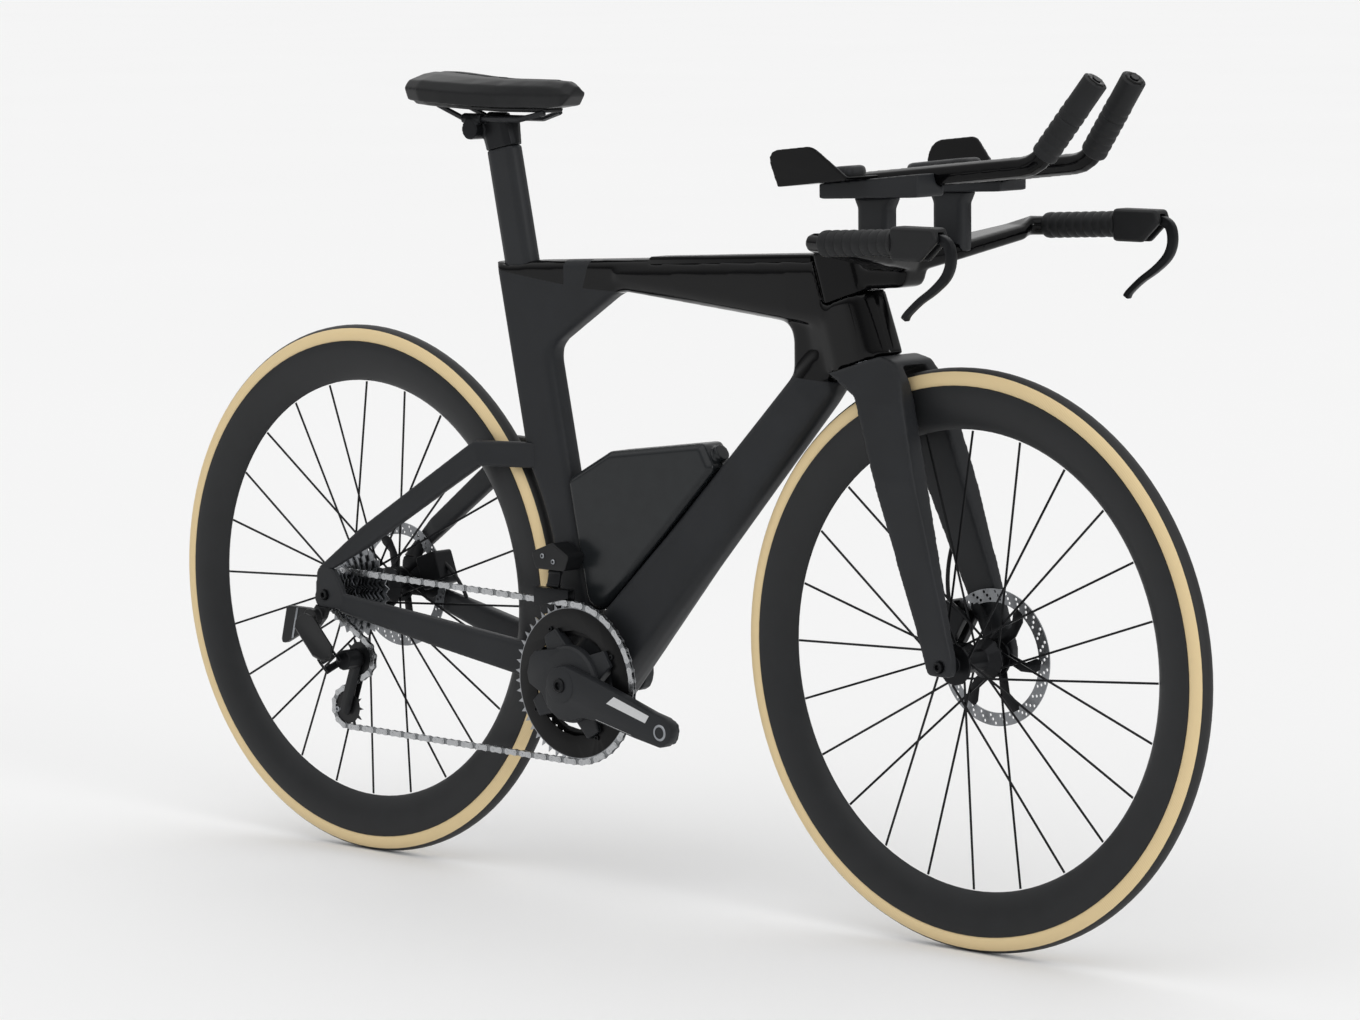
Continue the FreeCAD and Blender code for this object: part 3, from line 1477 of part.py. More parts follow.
def make_hood(bar, grip):
    """Left brake hood with a slot and a pin for the lever."""
    shape = [(V(hood_rear_x, 0, hood_low_z), hood_round), (V(hood_rear_x, 0, hood_top_z), hood_round)]
    shape.append((V(hood_front_x - hood_round, 0, hood_top_z), hood_round))
    shape.append((V(hood_front_x, 0, lever_pivot.z), hood_round))
    shape.append((V(hood_slot_x + lever_root, 0, hood_low_z), hood_round))
    hood = slab(shape, bar_half - hood_half, bar_half + hood_half)
    hood = rounded_edges(hood, hood_bevel,
                         lambda e: abs(abs(e.CenterOfMass.y - bar_half) - hood_half) < slide_gap)
    slot = [(V(hood_slot_x, 0, hood_low_z - overrun), 0), (V(hood_slot_x, 0, hood_top_z - hood_round), 0)]
    slot += [(V(lever_front_x, 0, hood_top_z - hood_round), 0),
             (V(lever_front_x, 0, hood_low_z - overrun), 0)]
    hood = hood.cut(slab(slot, bar_half - hood_slot_half, bar_half + hood_slot_half))
    pin = shaft(lever_pivot, lever_pin_radius, -hood_half + hood_bevel, hood_half - hood_bevel)
    return hood.cut(bar).cut(grip).fuse(pin)


def make_lever():
    """Left brake lever: a hooked blade that turns on the hood's pin."""
    root = V(lever_pivot.x, 0, lever_pivot.z)
    bend = V(lever_bend_x, 0, lever_bend_z)
    tip = V(lever_tip_x, 0, lever_tip_z)
    thick = direction(-45) * lever_thick
    shape = [(root + V(-lever_root, 0, lever_root) * lever_root_share, lever_root / 2)]
    shape.append((V(lever_front_x - lever_root, 0, lever_pivot.z + lever_root * lever_root_share),
                  lever_root / 2))
    shape.append((V(lever_front_x, 0, lever_pivot.z - lever_root), lever_root))
    shape.append((bend + thick / 2, lever_root))
    shape.append((tip + thick / 2, lever_root / 4))
    shape.append((tip - thick / 4, lever_root / 4))
    shape.append((bend - thick / 2, lever_root))
    shape.append((V(lever_front_x - lever_thick - lever_root / 2, 0, lever_pivot.z - lever_root),
                  lever_root / 2))
    shape.append((root + V(-lever_root, 0, -lever_root) * lever_root_share, lever_root / 2))
    blade = slab(shape, bar_half - lever_half, bar_half + lever_half)
    return blade.cut(shaft(lever_pivot, lever_pin_radius + running_gap, -lever_root, lever_root))


def caliper_frame(axle, angle):
    """Centre of a caliper over its rotor, with its outward and forward directions."""
    out = direction(angle)
    return axle + out * caliper_ring, out, direction(angle + 90)


def make_caliper(axle, angle, rotor_y):
    """Caliper body: two cheeks joined by a bridge over the rotor's edge."""
    centre, out, along = caliper_frame(axle, angle)
    room = rotor_thick / 2 + pad_gap + pad_depth + slide_gap
    shape = []
    for o, a in ((1, 1), (1, -1), (-1, -1), (-1, 1)):
        shape.append((centre + out * (o * caliper_half_height) + along * (a * caliper_half_length),
                      caliper_round))
    body = slab(shape, rotor_y - room - caliper_wall, rotor_y + room + caliper_wall)
    rim = rotor_radius - caliper_ring + slide_gap * 4
    gap = []
    for o, a in ((rim, 1), (rim, -1), (-caliper_half_height * 2, -1), (-caliper_half_height * 2, 1)):
        gap.append((centre + out * o + along * (a * caliper_half_length * 2), 0))
    return body.cut(slab(gap, rotor_y - room, rotor_y + room))


def make_brake_pad(axle, angle, rotor_y, side):
    """One brake pad, on the left or right face of the rotor."""
    centre, out, along = caliper_frame(axle, angle)
    shape = []
    for o, a in ((1, 1), (1, -1), (-1, -1), (-1, 1)):
        shape.append((centre + out * (o * pad_half * pad_height_share) + along * (a * pad_half), 0))
    near = rotor_thick / 2 + pad_gap
    faces = sorted((rotor_y + side * near, rotor_y + side * (near + pad_depth)))
    return slab(shape, faces[0], faces[1])


def make_bottle(frame):
    """Aero bottle in the lower corner of the window, and its cap."""
    rear = (seat_front_line[0] + seat_forward * slide_gap, seat_up)
    lift = V(-down_top_way.z, 0, down_top_way.x)
    foot = meet((down_top_line[0] + lift * slide_gap, down_top_way), rear)
    brow = foot + down_top_way * bottle_brow_along + lift * bottle_brow_lift
    nose = foot + down_top_way * bottle_nose_along + lift * bottle_nose_lift
    front = foot + down_top_way * bottle_front_along
    shape = [(foot + seat_up * bottle_rear_rise, bottle_round), (brow, bottle_round), (nose, bottle_round)]
    shape += [(front, bottle_round), (foot, corner_radius + bottle_round)]
    bottle = slab(shape, -bottle_half, bottle_half)
    bottle = rounded_edges(bottle, bottle_bevel, side_edge).cut(frame)
    face = (front - nose).normalize()
    out = V(-face.z, 0, face.x)
    cap = drum((nose + front) / 2, bottle_cap_radius, -bottle_cap, bottle_cap / 2, out)
    cap = cap.cut(bottle).cut(frame)
    return Part.makeCompound([bottle, cap])


def make_front_derailleur_body(frame):
    """Motor and battery housing on the seat tube."""
    low = fd_cage_top() + fd_link_drop + fd_barrel * 2 + slide_gap * 2
    shape = [(V(bb.x - fd_rear, 0, low), fd_round),
             (V(bb.x - fd_rear - fd_lean, 0, low + fd_height * fd_rear_share), fd_round)]
    shape.append((V(bb.x - fd_mid, 0, low + fd_height), fd_round))
    shape.append((V(bb.x - fd_front, 0, low + fd_height * fd_front_share), fd_round))
    shape.append((V(bb.x - fd_front - fd_lean, 0, low), fd_round))
    body = slab(shape, -chain_line - fd_overhang, -bottle_half - slide_gap)
    foot = [(V(bb.x - fd_rear, 0, low), 0), (V(bb.x - fd_rear, 0, low + fd_height * fd_front_share), 0)]
    foot += [(V(bb.x - fd_mid, 0, low + fd_height * fd_front_share), 0), (V(bb.x - fd_mid, 0, low), 0)]
    return body.fuse(slab(foot, -bottle_half - fd_overhang, -seat_half)).cut(frame).removeSplitter()


def fd_cage_top():
    """Height of the front derailleur cage's top."""
    return bb.z + pitch_radius(ring_teeth) + fd_cage_rise


def fd_pivots():
    """Upper and lower pivot of the front derailleur link, in its own cross plane."""
    low = V(bb.x - fd_mid, -chain_line, fd_cage_top() + fd_barrel + slide_gap)
    return low + V(0, ring_spacing / 2, fd_link_drop), low


def make_front_derailleur_link():
    """Short link that swings the cage from ring to ring."""
    high, low = fd_pivots()
    start = V(-fd_link_half, 0, 0)
    way = V(fd_link_half * 2, 0, 0)
    link = drum(high, fd_barrel, -fd_link_half, fd_link_half, level, sides=barrel_sides)
    link = link.fuse(drum(low, fd_barrel, -fd_link_half, fd_link_half, level, sides=barrel_sides))
    across = V(0, fd_barrel / 2, 0)
    return link.fuse(prism([p + start for p in (high + across, high - across, low - across, low + across)],
                           way))


def make_front_derailleur_cage():
    """Chain guide: two plates joined over the chain."""
    front = bb.x - fd_cage_front
    rear = bb.x - fd_cage_rear
    top = fd_cage_top()
    lip = bb.z + pitch_radius(ring_teeth) + tooth_tip_rise + fd_cage_gap
    heel = lip - fd_cage_heel
    outer = [(V(front, 0, lip), 0), (V(front, 0, top), 0), (V(rear, 0, top), 0), (V(rear, 0, heel), 0)]
    inner = [(V(front, 0, lip - fd_inner_drop), 0), (V(front, 0, top), 0), (V(rear, 0, top), 0)]
    inner.append((V(rear, 0, heel - fd_inner_drop), 0))
    far = chain_line + fd_cage_half
    near = chain_line - fd_cage_half
    cage = slab(outer, -far - cage_plate, -far).fuse(slab(inner, -near, -near + cage_plate))
    bridge = [(V(front, 0, top - cage_plate), 0), (V(front, 0, top), 0), (V(rear, 0, top), 0),
              (V(rear, 0, top - cage_plate), 0)]
    return cage.fuse(slab(bridge, -far, -near)).removeSplitter()


rd_mount = rear_axle + V(-rd_mount_back, 0, -rd_mount_drop)
rd_way = V(guide_pulley.x - rd_mount.x, 0, guide_pulley.z - rd_mount.z).normalize()
rd_swing = V(-rd_slant_share * rd_way.z / -rd_way.x, 1, -rd_slant_share)
rd_swing = (rd_swing - rd_way * rd_swing.dot(rd_way)).normalize()
rd_axis = rd_way.cross(rd_swing).normalize()
rd_root = rd_mount + rd_way * rd_ear + V(0, -rd_link_y, 0)
rd_end = V(guide_pulley.x, -rd_link_y, guide_pulley.z) - rd_way * rd_ear


def pair_of_ears(centre, foot_y):
    """Two lugs, one at each end of a link's barrel, and the yoke that carries them on a knuckle."""
    ears = []
    side = rd_way * rd_barrel
    root = centre + rd_swing * ((foot_y - centre.y) / rd_swing.y)
    for end in (1, -1):
        start = rd_axis * (end * (rd_barrel_half + slide_gap))
        out = centre + start - rd_swing * rd_barrel
        foot = root + start
        ears.append(prism([out - side, out + side, foot + side, foot - side],
                          rd_axis * (end * rd_ear_thick)))
    half = rd_axis * (rd_barrel_half + slide_gap + rd_ear_thick)
    deep = rd_swing * rd_barrel
    corners = [root - half - side, root - half + side, root - half + side - deep, root - half - side - deep]
    return ears + [prism(corners, half * 2)]


def make_rear_derailleur_body(chain_stay):
    """Hanger, upper knuckle with its link lugs, and the battery behind it."""
    outer = rear_spacing / 2 + dropout_thickness
    centre = V(rd_mount.x, 0, rd_mount.z)
    hanger = [(centre + V(-rd_knuckle, 0, 0), 0),
              (rear_axle + V(-dropout_rear + overrun, 0, -dropout_low + overrun), 0)]
    hanger += [(rear_axle + V(overrun, 0, -dropout_low + overrun), 0), (centre + V(rd_knuckle, 0, 0), 0)]
    hanger.append((centre + V(0, 0, -rd_knuckle), 0))
    body = slab(hanger, -outer, -rear_spacing / 2).cut(chain_stay)
    body = body.fuse(drum(centre, rd_knuckle, -rd_knuckle_y, -outer))
    pack = [(centre + V(-rd_battery_length, 0, -rd_battery_drop), rd_barrel)]
    pack.append((centre + V(-rd_battery_length + rd_knuckle, 0, rd_knuckle), rd_barrel))
    pack += [(centre + V(0, 0, rd_knuckle), rd_barrel), (centre + V(-rd_barrel, 0, -rd_knuckle), rd_barrel)]
    body = body.fuse(slab(pack, -rd_knuckle_y + rd_barrel / 2, -outer))
    for ear in pair_of_ears(rd_root, -rd_knuckle_y + rd_barrel):
        body = body.fuse(ear)
    return body.removeSplitter()


def make_rear_derailleur_link():
    """Parallelogram link with a barrel at each end."""
    link = drum(rd_root, rd_barrel, -rd_barrel_half, rd_barrel_half, rd_axis, sides=barrel_sides)
    link = link.fuse(drum(rd_end, rd_barrel, -rd_barrel_half, rd_barrel_half, rd_axis, sides=barrel_sides))
    wide = rd_axis * (rd_barrel_half - slide_gap)
    thick = rd_swing * (rd_barrel / 2)
    plate = [rd_root + wide - thick, rd_root - wide - thick, rd_end - wide - thick, rd_end + wide - thick]
    return link.fuse(prism(plate, thick * 2)).removeSplitter()


def make_rear_derailleur_knuckle():
    """Lower knuckle that carries the cage pivot."""
    centre = V(guide_pulley.x, 0, guide_pulley.z)
    inner = chain_line + cage_gap + cage_plate + slide_gap
    knuckle = drum(centre, rd_knuckle, -rd_lower_y, -inner)
    for ear in pair_of_ears(rd_end, -rd_lower_y + rd_barrel):
        knuckle = knuckle.fuse(ear)
    bore = shaft(centre, pulley_bore + running_gap, -rd_lower_y + rd_barrel, 0)
    return knuckle.cut(bore).removeSplitter()


def make_rear_derailleur_cage():
    """Two plates with a pulley bolt at each end and a pivot stub into the knuckle."""
    guide = V(guide_pulley.x, 0, guide_pulley.z)
    tension = V(tension_pulley.x, 0, tension_pulley.z)
    way = direction(cage_angle)
    across = V(-way.z, 0, way.x) * cage_half
    shape = [(guide + across - way * cage_half, cage_half * cage_round_share)]
    shape += [(tension + across + way * cage_half, cage_half * cage_round_share)]
    shape += [(tension - across + way * cage_half, cage_half * cage_round_share)]
    shape += [(guide - across - way * cage_half, cage_half * cage_round_share)]
    far = chain_line + cage_gap
    near = chain_line - cage_gap
    cage = slab(shape, -far - cage_plate, -far).fuse(slab(shape, -near, -near + cage_plate))
    stub = chain_line + cage_gap + cage_plate + cage_stub
    cage = cage.fuse(shaft(guide, pulley_bore, -stub, -near))
    return cage.fuse(shaft(tension, pulley_bore, -far, -near)).removeSplitter()


def make_pulley(centre, wheel):
    """Jockey wheel on its bolt."""
    disc = sprocket(centre, pulley_teeth, pulley_thick, valley_angle(wheel))
    return disc.cut(shaft(centre, pulley_bore + running_gap, -pulley_thick, pulley_thick))


def make_all():
    """Build and write every node."""
    os.makedirs("parts", exist_ok=True)
    frame = make_front_triangle()
    seat_stay = make_seat_stay(frame)
    chain_stay = make_chain_stay(frame, seat_stay)
    save("front_triangle", frame)
    save("top_tube_lid", make_lid())
    save("frame_bearings", make_frame_bearings())
    save("seat_stays", both_sides(seat_stay))
    save("chain_stays", both_sides(chain_stay))
    fork = make_fork()
    save("fork", fork)
    bar = make_base_bar()
    extension = make_extension()
    mount = make_mount(extension)
    save("base_bar", bar)
    save("risers", make_risers(bar, both_sides(mount), both_sides(extension)))
    save("tilt_mounts", both_sides(mount))
    save("extensions", both_sides(extension))
    save("extension_grips", both_sides(make_extension_grip(extension)))
    save("arm_cups", both_sides(make_cup()))
    save("arm_pads", both_sides(make_arm_pad()))
    bar_grip = make_bar_grip(bar)
    save("bar_grips", both_sides(bar_grip))
    save("brake_hoods", both_sides(make_hood(bar, bar_grip)))
    for name, shape in (("lever", make_lever()), ("shift_button", make_button())):
        save(name + "_left", shape)
        save(name + "_right", mirrored(shape))
    front_caliper = make_caliper(front_axle, front_caliper_angle, front_rotor_y).cut(fork)
    rear_caliper = make_caliper(rear_axle, rear_caliper_angle, rear_rotor_y).cut(chain_stay)
    save("front_caliper", front_caliper)
    save("rear_caliper", rear_caliper)
    for name, axle, angle, y in (("front", front_axle, front_caliper_angle, front_rotor_y),
                                 ("rear", rear_axle, rear_caliper_angle, rear_rotor_y)):
        save(name + "_pad_outer", make_brake_pad(axle, angle, y, 1))
        save(name + "_pad_inner", make_brake_pad(axle, angle, y, -1))
    front_hose = swept(front_hose_route, front_hose_bend, hose_radius, wire_sides)
    front_hose = front_hose.cut(fork).cut(front_caliper)
    rear_hose = swept(rear_hose_route, rear_hose_bend, hose_radius, wire_sides)
    rear_hose = rear_hose.cut(chain_stay).cut(rear_caliper)
    save("front_hose", front_hose)
    save("rear_hose", rear_hose)
    save("seatpost", make_seatpost())
    save("seatpost_head", make_seatpost_head())
    save("saddle_rails", make_rails())
    save("saddle_shell", make_saddle_shell().cut(make_rails()))
    save("saddle_pad", make_saddle_pad())
    save("bottle", make_bottle(frame))
    save("fd_body", make_front_derailleur_body(frame))
    save("fd_link", make_front_derailleur_link())
    save("fd_cage", make_front_derailleur_cage())
    save("rd_body", make_rear_derailleur_body(mirrored(chain_stay)))
    save("rd_link", make_rear_derailleur_link())
    save("rd_knuckle", make_rear_derailleur_knuckle())
    save("rd_cage", make_rear_derailleur_cage())
    save("guide_pulley", make_pulley(guide_pulley, 2))
    save("tension_pulley", make_pulley(tension_pulley, 3))
    wheels = [("front", front_axle, front_spacing, front_flange_left, front_flange_right, front_rotor_y,
               front_end)]
    wheels.append(("rear", rear_axle, rear_spacing, rear_flange_left, rear_flange_right, rear_rotor_y,
                   rear_end))
    for name, axle, spacing, left, right, rotor_y, right_end in wheels:
        save(name + "_tyre", make_tyre(axle))
        save(name + "_rim", make_rim(axle))
        hub = make_hub(axle, spacing, left, right, rotor_y, right_end)
        save(name + "_hub", hub)
        save(name + "_spokes", make_spokes(axle, left, right, hub))
        save(name + "_rotor", make_rotor(axle, rotor_y))
    save("front_axle", make_thru_axle(front_axle, fork_tip_half))
    save("rear_axle", make_thru_axle(rear_axle, rear_spacing / 2 + dropout_thickness))
    rings = make_chainrings()
    save("chainrings", rings)
    save("crank_right", make_right_crank(rings))
    save("crank_left", make_left_crank())
    save("spindle", make_spindle())
    save("cassette", make_cassette())
    save("chain", make_chain())
    print("links", link_count, "cage angle", round(cage_angle, 2))


make_all()
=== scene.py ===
import json
import math

import bpy
from mathutils import Matrix, Vector


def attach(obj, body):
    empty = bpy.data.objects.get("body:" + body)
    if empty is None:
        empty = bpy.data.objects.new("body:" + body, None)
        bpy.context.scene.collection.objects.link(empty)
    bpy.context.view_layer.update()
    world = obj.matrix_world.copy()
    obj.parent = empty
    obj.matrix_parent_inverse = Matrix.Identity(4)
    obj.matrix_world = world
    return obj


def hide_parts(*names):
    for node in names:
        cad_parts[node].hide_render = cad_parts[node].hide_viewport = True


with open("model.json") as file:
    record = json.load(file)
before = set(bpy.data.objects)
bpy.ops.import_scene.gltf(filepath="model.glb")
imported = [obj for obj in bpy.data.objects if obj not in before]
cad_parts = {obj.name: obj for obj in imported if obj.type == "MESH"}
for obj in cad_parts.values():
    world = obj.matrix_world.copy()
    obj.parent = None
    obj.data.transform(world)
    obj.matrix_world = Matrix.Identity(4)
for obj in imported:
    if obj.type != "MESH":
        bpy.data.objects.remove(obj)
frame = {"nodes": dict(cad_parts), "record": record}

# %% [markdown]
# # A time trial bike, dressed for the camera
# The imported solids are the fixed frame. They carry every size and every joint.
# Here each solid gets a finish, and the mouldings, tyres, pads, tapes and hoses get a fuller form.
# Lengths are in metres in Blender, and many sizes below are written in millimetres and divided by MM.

MM = 1000.0
# A colour mix has its share at input 0, its two colours at inputs 6 and 7, and its result at output 2.
SHARE, FIRST, SECOND, MIXED = 0, 6, 7, 2
skin_weld, skin_flat = 0.02 / MM, math.radians(0.5)
spun_weld, spun_sliver = 0.005 / MM, 0.002 / MM
relax_share, moulding_flat = 0.5, math.radians(0.6)
machined_corner, plate_corner = math.radians(30), math.radians(40)
bevel_steps, blank_radius = 2, 0.1
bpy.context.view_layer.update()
bodies = frame["record"]["behaviour"]["bodies"]
body_of = {node: body for body, nodes in bodies.items() for node in nodes}
slot_of = {row["node"]: row["material_slot"] for row in frame["record"]["subparts"]}
finishes = {}


def mm(*numbers):
    """A point given in millimetres."""
    return Vector(numbers) / MM


def linear(code):
    """A colour written as sRGB hex, turned to the linear numbers that a shader takes."""
    shares = [int(code[i:i + 2], 16) / 255 for i in (1, 3, 5)]
    return [s / 12.92 if s <= 0.04045 else ((s + 0.055) / 1.055) ** 2.4 for s in shares] + [1.0]


def per_mm(size):
    """Texture scale at which one cell of a pattern is this many millimetres."""
    return MM / size


def fill(tree, node, inputs):
    """Sets inputs of one node. Each takes a value or another node's output."""
    for name, value in inputs.items():
        if isinstance(value, bpy.types.NodeSocket):
            tree.links.new(value, node.inputs[name])
        else:
            node.inputs[name].default_value = value


def add(tree, kind, inputs=None, **settings):
    """One node with its settings and its inputs."""
    made = tree.nodes.new(kind)
    for name, value in settings.items():
        setattr(made, name, value)
    fill(tree, made, inputs or {})
    return made


def begin(name):
    """An empty finish: its tree, its shader and the place on the object."""
    made = bpy.data.materials.new(name)
    made.use_nodes = True
    tree = made.node_tree
    shader = tree.nodes["Principled BSDF"]
    place = add(tree, "ShaderNodeTexCoord").outputs["Object"]
    finishes[name] = made
    return tree, shader, place


def only(made):
    """Selects one object and makes it the active one."""
    if bpy.context.mode != "OBJECT":
        bpy.ops.object.mode_set(mode="OBJECT")
    bpy.ops.object.select_all(action="DESELECT")
    made.select_set(True)
    bpy.context.view_layer.objects.active = made


def apply(made, kind, **settings):
    """Adds one modifier and applies it."""
    only(made)
    step = made.modifiers.new(kind.title(), kind)
    for name, value in settings.items():
        setattr(step, name, value)
    bpy.ops.object.modifier_apply(modifier=step.name)


def smooth(made, degrees):
    """Smooth shading, but with edges sharper than this angle kept."""
    only(made)
    bpy.ops.object.shade_smooth_by_angle(angle=math.radians(degrees))


def dress(made, finish, body, slot, *nodes):
    """Finish, body and the solids that this piece stands for. The slot is not used."""
    made.data.materials.clear()
    made.data.materials.append(finishes[finish])
    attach(made, body)
    if nodes:
        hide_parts(*nodes)
    print("made", made.name, len(made.data.polygons), "faces")
    return made


def copy_of(node, name):
    """A copy of one solid's mesh, merged into a closed skin with its flat faces whole."""
    made = bpy.data.objects.new(name, frame["nodes"][node].data.copy())
    bpy.context.scene.collection.objects.link(made)
    only(made)
    bpy.ops.mesh.customdata_custom_splitnormals_clear()
    bpy.ops.object.mode_set(mode="EDIT")
    bpy.ops.mesh.select_all(action="SELECT")
    bpy.ops.mesh.remove_doubles(threshold=skin_weld)
    bpy.ops.mesh.dissolve_limited(angle_limit=skin_flat)
    bpy.ops.object.mode_set(mode="OBJECT")
    return made


def moulding(node, finish, voxel, rounds):
    """A solid as a smooth moulding: remeshed at a voxel in millimetres, then relaxed to round its edges."""
    made = copy_of(node, node + "_moulding")
    apply(made, "REMESH", mode="VOXEL", voxel_size=voxel / MM)
    apply(made, "SMOOTH", factor=relax_share, iterations=rounds)
    apply(made, "DECIMATE", decimate_type="DISSOLVE", angle_limit=moulding_flat)
    smooth(made, 60)
    return dress(made, finish, body_of[node], slot_of[node], node)


def bevelled(made, edge, corner):
    """Breaks the edges that turn by more than an angle, by so many millimetres."""
    apply(made, "BEVEL", width=edge / MM, segments=bevel_steps, limit_method="ANGLE", angle_limit=corner)


def machined(node, finish, edge):
    """A solid as a machined piece: its sharp edges broken by a small bevel, in millimetres."""
    made = copy_of(node, node + "_machined")
    bevelled(made, edge, machined_corner)
    smooth(made, 35)
    return dress(made, finish, body_of[node], slot_of[node], node)


# %% [markdown]
# ## The camera
# The photograph was taken with a long lens from the right front, a little above the hubs.
# Its place was fitted on the wheels, so it is set by angles and a position, and rolled by half a degree.

# %% Camera
azimuth, elevation, roll = math.radians(42.706), math.radians(6.801), math.radians(-0.515)
camera_place = (4.17684, -4.47983, 1.20591)
level = math.cos(elevation)
back = Vector((math.sin(azimuth) * level, -math.cos(azimuth) * level, math.sin(elevation)))
right = Vector((0, 0, 1)).cross(back).normalized()
up = back.cross(right)
right, up = right * math.cos(roll) + up * math.sin(roll), up * math.cos(roll) - right * math.sin(roll)
camera = bpy.data.objects.new("camera", bpy.data.cameras.new("camera"))
bpy.context.scene.collection.objects.link(camera)
turn = Matrix((right, up, back)).transposed().to_4x4()
camera.matrix_world = Matrix.Translation(camera_place) @ turn
camera.data.sensor_width = 36.0
camera.data.lens = 135.0
camera.data.clip_end = 1000.0
bpy.context.scene.camera = camera
print("camera", [round(x, 3) for x in camera.location])

# %% [markdown]
# ## Brake hoses
# Two short lengths of hose show: one from the fork leg to the front caliper, one along the chain stay.
# Each is a cord with both ends in the object. A spline on the route's own points gives the smooth line.
# A curve's box grows by the radius at its points, so the hose's radius is set there and the bevel keeps it.

# %% Hoses
hose_routes = {
    "front_hose": ("steering", [(424, 46, 396), (414, 50, 430), (424, 54, 466)], 0.072),
    "rear_hose": ("frame", [(-420, 56, 372), (-398, 58, 358), (-384, 60, 330)], 0.056),
}
hose_diameter = 5.0 / MM
hoses = []
for node, (body, route, length) in hose_routes.items():
    line = bpy.data.curves.new(node + "_line", "CURVE")
    line.dimensions = "3D"
    run = line.splines.new("NURBS")
    run.points.add(len(route) - 1)
    for point, place in zip(run.points, route):
        point.co = (*mm(*place), 1)
        point.radius = hose_diameter / 2
    run.order_u = 3
    run.use_endpoint_u = True
    run.resolution_u = 12
    line.bevel_depth = 1.0
    line.bevel_resolution = 4
    line.use_fill_caps = True
    made = bpy.data.objects.new(node + "_line", line)
    bpy.context.scene.collection.objects.link(made)
    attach(made, body)
    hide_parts(node)
    hoses.append(made)
print("hoses", len(hoses))

# %% [markdown]
# ## The studio
# A pale floor runs on past the camera's view, so it is the backdrop too.
# The sky is a soft dome, bright overhead and grey near the horizon, as in a room with dark far walls.
# That keeps level lacquer dark, since a low camera sees the horizon in it.
# Two wide suns fill the room. A third, narrow and low in front, draws the bright lines on rounded lacquer.

# %% Studio
floor_width = 600.0
suns = {
    "key_sun": ((0.25, -0.55, 0.80), 0.4, 55),
    "rim_sun": ((-0.45, 0.60, 0.65), 0.35, 60),
    "line_sun": ((0.94, -0.20, 0.28), 0.45, 14),
}
scene = bpy.context.scene
scene.view_settings.view_transform = "Standard"
world = bpy.data.worlds.new("pale_dome")
scene.world = world
world.use_nodes = True
sky = world.node_tree
height = add(sky, "ShaderNodeSeparateXYZ", {0: add(sky, "ShaderNodeTexCoord").outputs["Generated"]})
dome = add(sky, "ShaderNodeValToRGB", {0: height.outputs["Z"]})
dome.color_ramp.elements[0].position = 0.0
dome.color_ramp.elements[0].color = linear("#6c6c6c")
dome.color_ramp.elements[1].position = 0.75
dome.color_ramp.elements[1].color = linear("#ffffff")
dome.color_ramp.elements.new(0.3).color = linear("#dcdcdc")
fill(sky, sky.nodes["Background"], {"Color": dome.outputs["Color"], "Strength": 0.90})
for name, (source, strength, spread) in suns.items():
    lamp = bpy.data.lights.new(name, "SUN")
    lamp.energy = strength
    lamp.angle = math.radians(spread)
    sun = bpy.data.objects.new(name, lamp)
    sun.rotation_euler = Vector(source).to_track_quat("Z", "Y").to_euler()
    scene.collection.objects.link(sun)
bpy.ops.object.select_all(action="DESELECT")
bpy.ops.mesh.primitive_plane_add(size=floor_width)
floor = bpy.context.object
floor.name = "studio_floor"
tree, shader, place = begin("studio_paint")
grain = add(tree, "ShaderNodeTexNoise", {"Vector": place, "Scale": 0.5})
tone = add(tree, "ShaderNodeMix",
           {SHARE: grain.outputs["Fac"], FIRST: linear("#f2f2f2"), SECOND: linear("#f4f4f4")},
           data_type="RGBA")
fill(tree, shader, {"Base Color": tone.outputs[MIXED], "Roughness": 0.9, "Specular IOR Level": 0.1})
floor.data.materials.append(finishes["studio_paint"])

# %% [markdown]
# ## Carbon finishes
# The frame is moulded carbon under a satin lacquer: dark grey with faint clouds where the layers cross.
# The top tube, head, stem and bar are the same carbon under deep gloss black lacquer.
# On the main frame both meet along painted lines, so its finish blends them by place.
# Each line is a plane across the frame: its slopes along x and z, and how far out it lies.

# %% Satin and gloss carbon
satin_dark, satin_light = linear("#1e1f21"), linear("#26282b")
gloss_black, gloss_light = linear("#030304"), linear("#070708")
satin_shine, gloss_shine, two_tone_shine = 0.27, 0.15, 0.22
cloud_size, lacquer_ripple = 45.0, 1.6
border_lines = {
    "seat_side": (1.0, -0.3235, -0.3407),
    "under_head": (0.06, 1.0, 0.667),
    "clamp_low": (0.119, 1.0, 0.728),
    "brow_start": (1.0, 0.0, -0.048),
    "brow_low": (0.04, 1.0, 0.737),
}
border_soft, clamp_end = 0.0006, -0.1332

tree, shader, place = begin("satin_carbon")
cloud = add(tree, "ShaderNodeTexNoise", {"Vector": place, "Scale": per_mm(cloud_size), "Detail": 3.0})
tone = add(tree, "ShaderNodeMix", {SHARE: cloud.outputs["Fac"], FIRST: satin_dark, SECOND: satin_light},
           data_type="RGBA")
ripple = add(tree, "ShaderNodeTexNoise", {"Vector": place, "Scale": per_mm(lacquer_ripple)})
gloss = add(tree, "ShaderNodeMapRange", {"Value": cloud.outputs["Fac"], "To Min": 0.42, "To Max": 0.52})
bump = add(tree, "ShaderNodeBump",
           {"Height": ripple.outputs["Fac"], "Strength": 0.05, "Distance": 0.1 / MM})
fill(tree, shader, {"Base Color": tone.outputs[MIXED], "Roughness": gloss.outputs[0],
                    "Normal": bump.outputs[0], "Specular IOR Level": satin_shine})

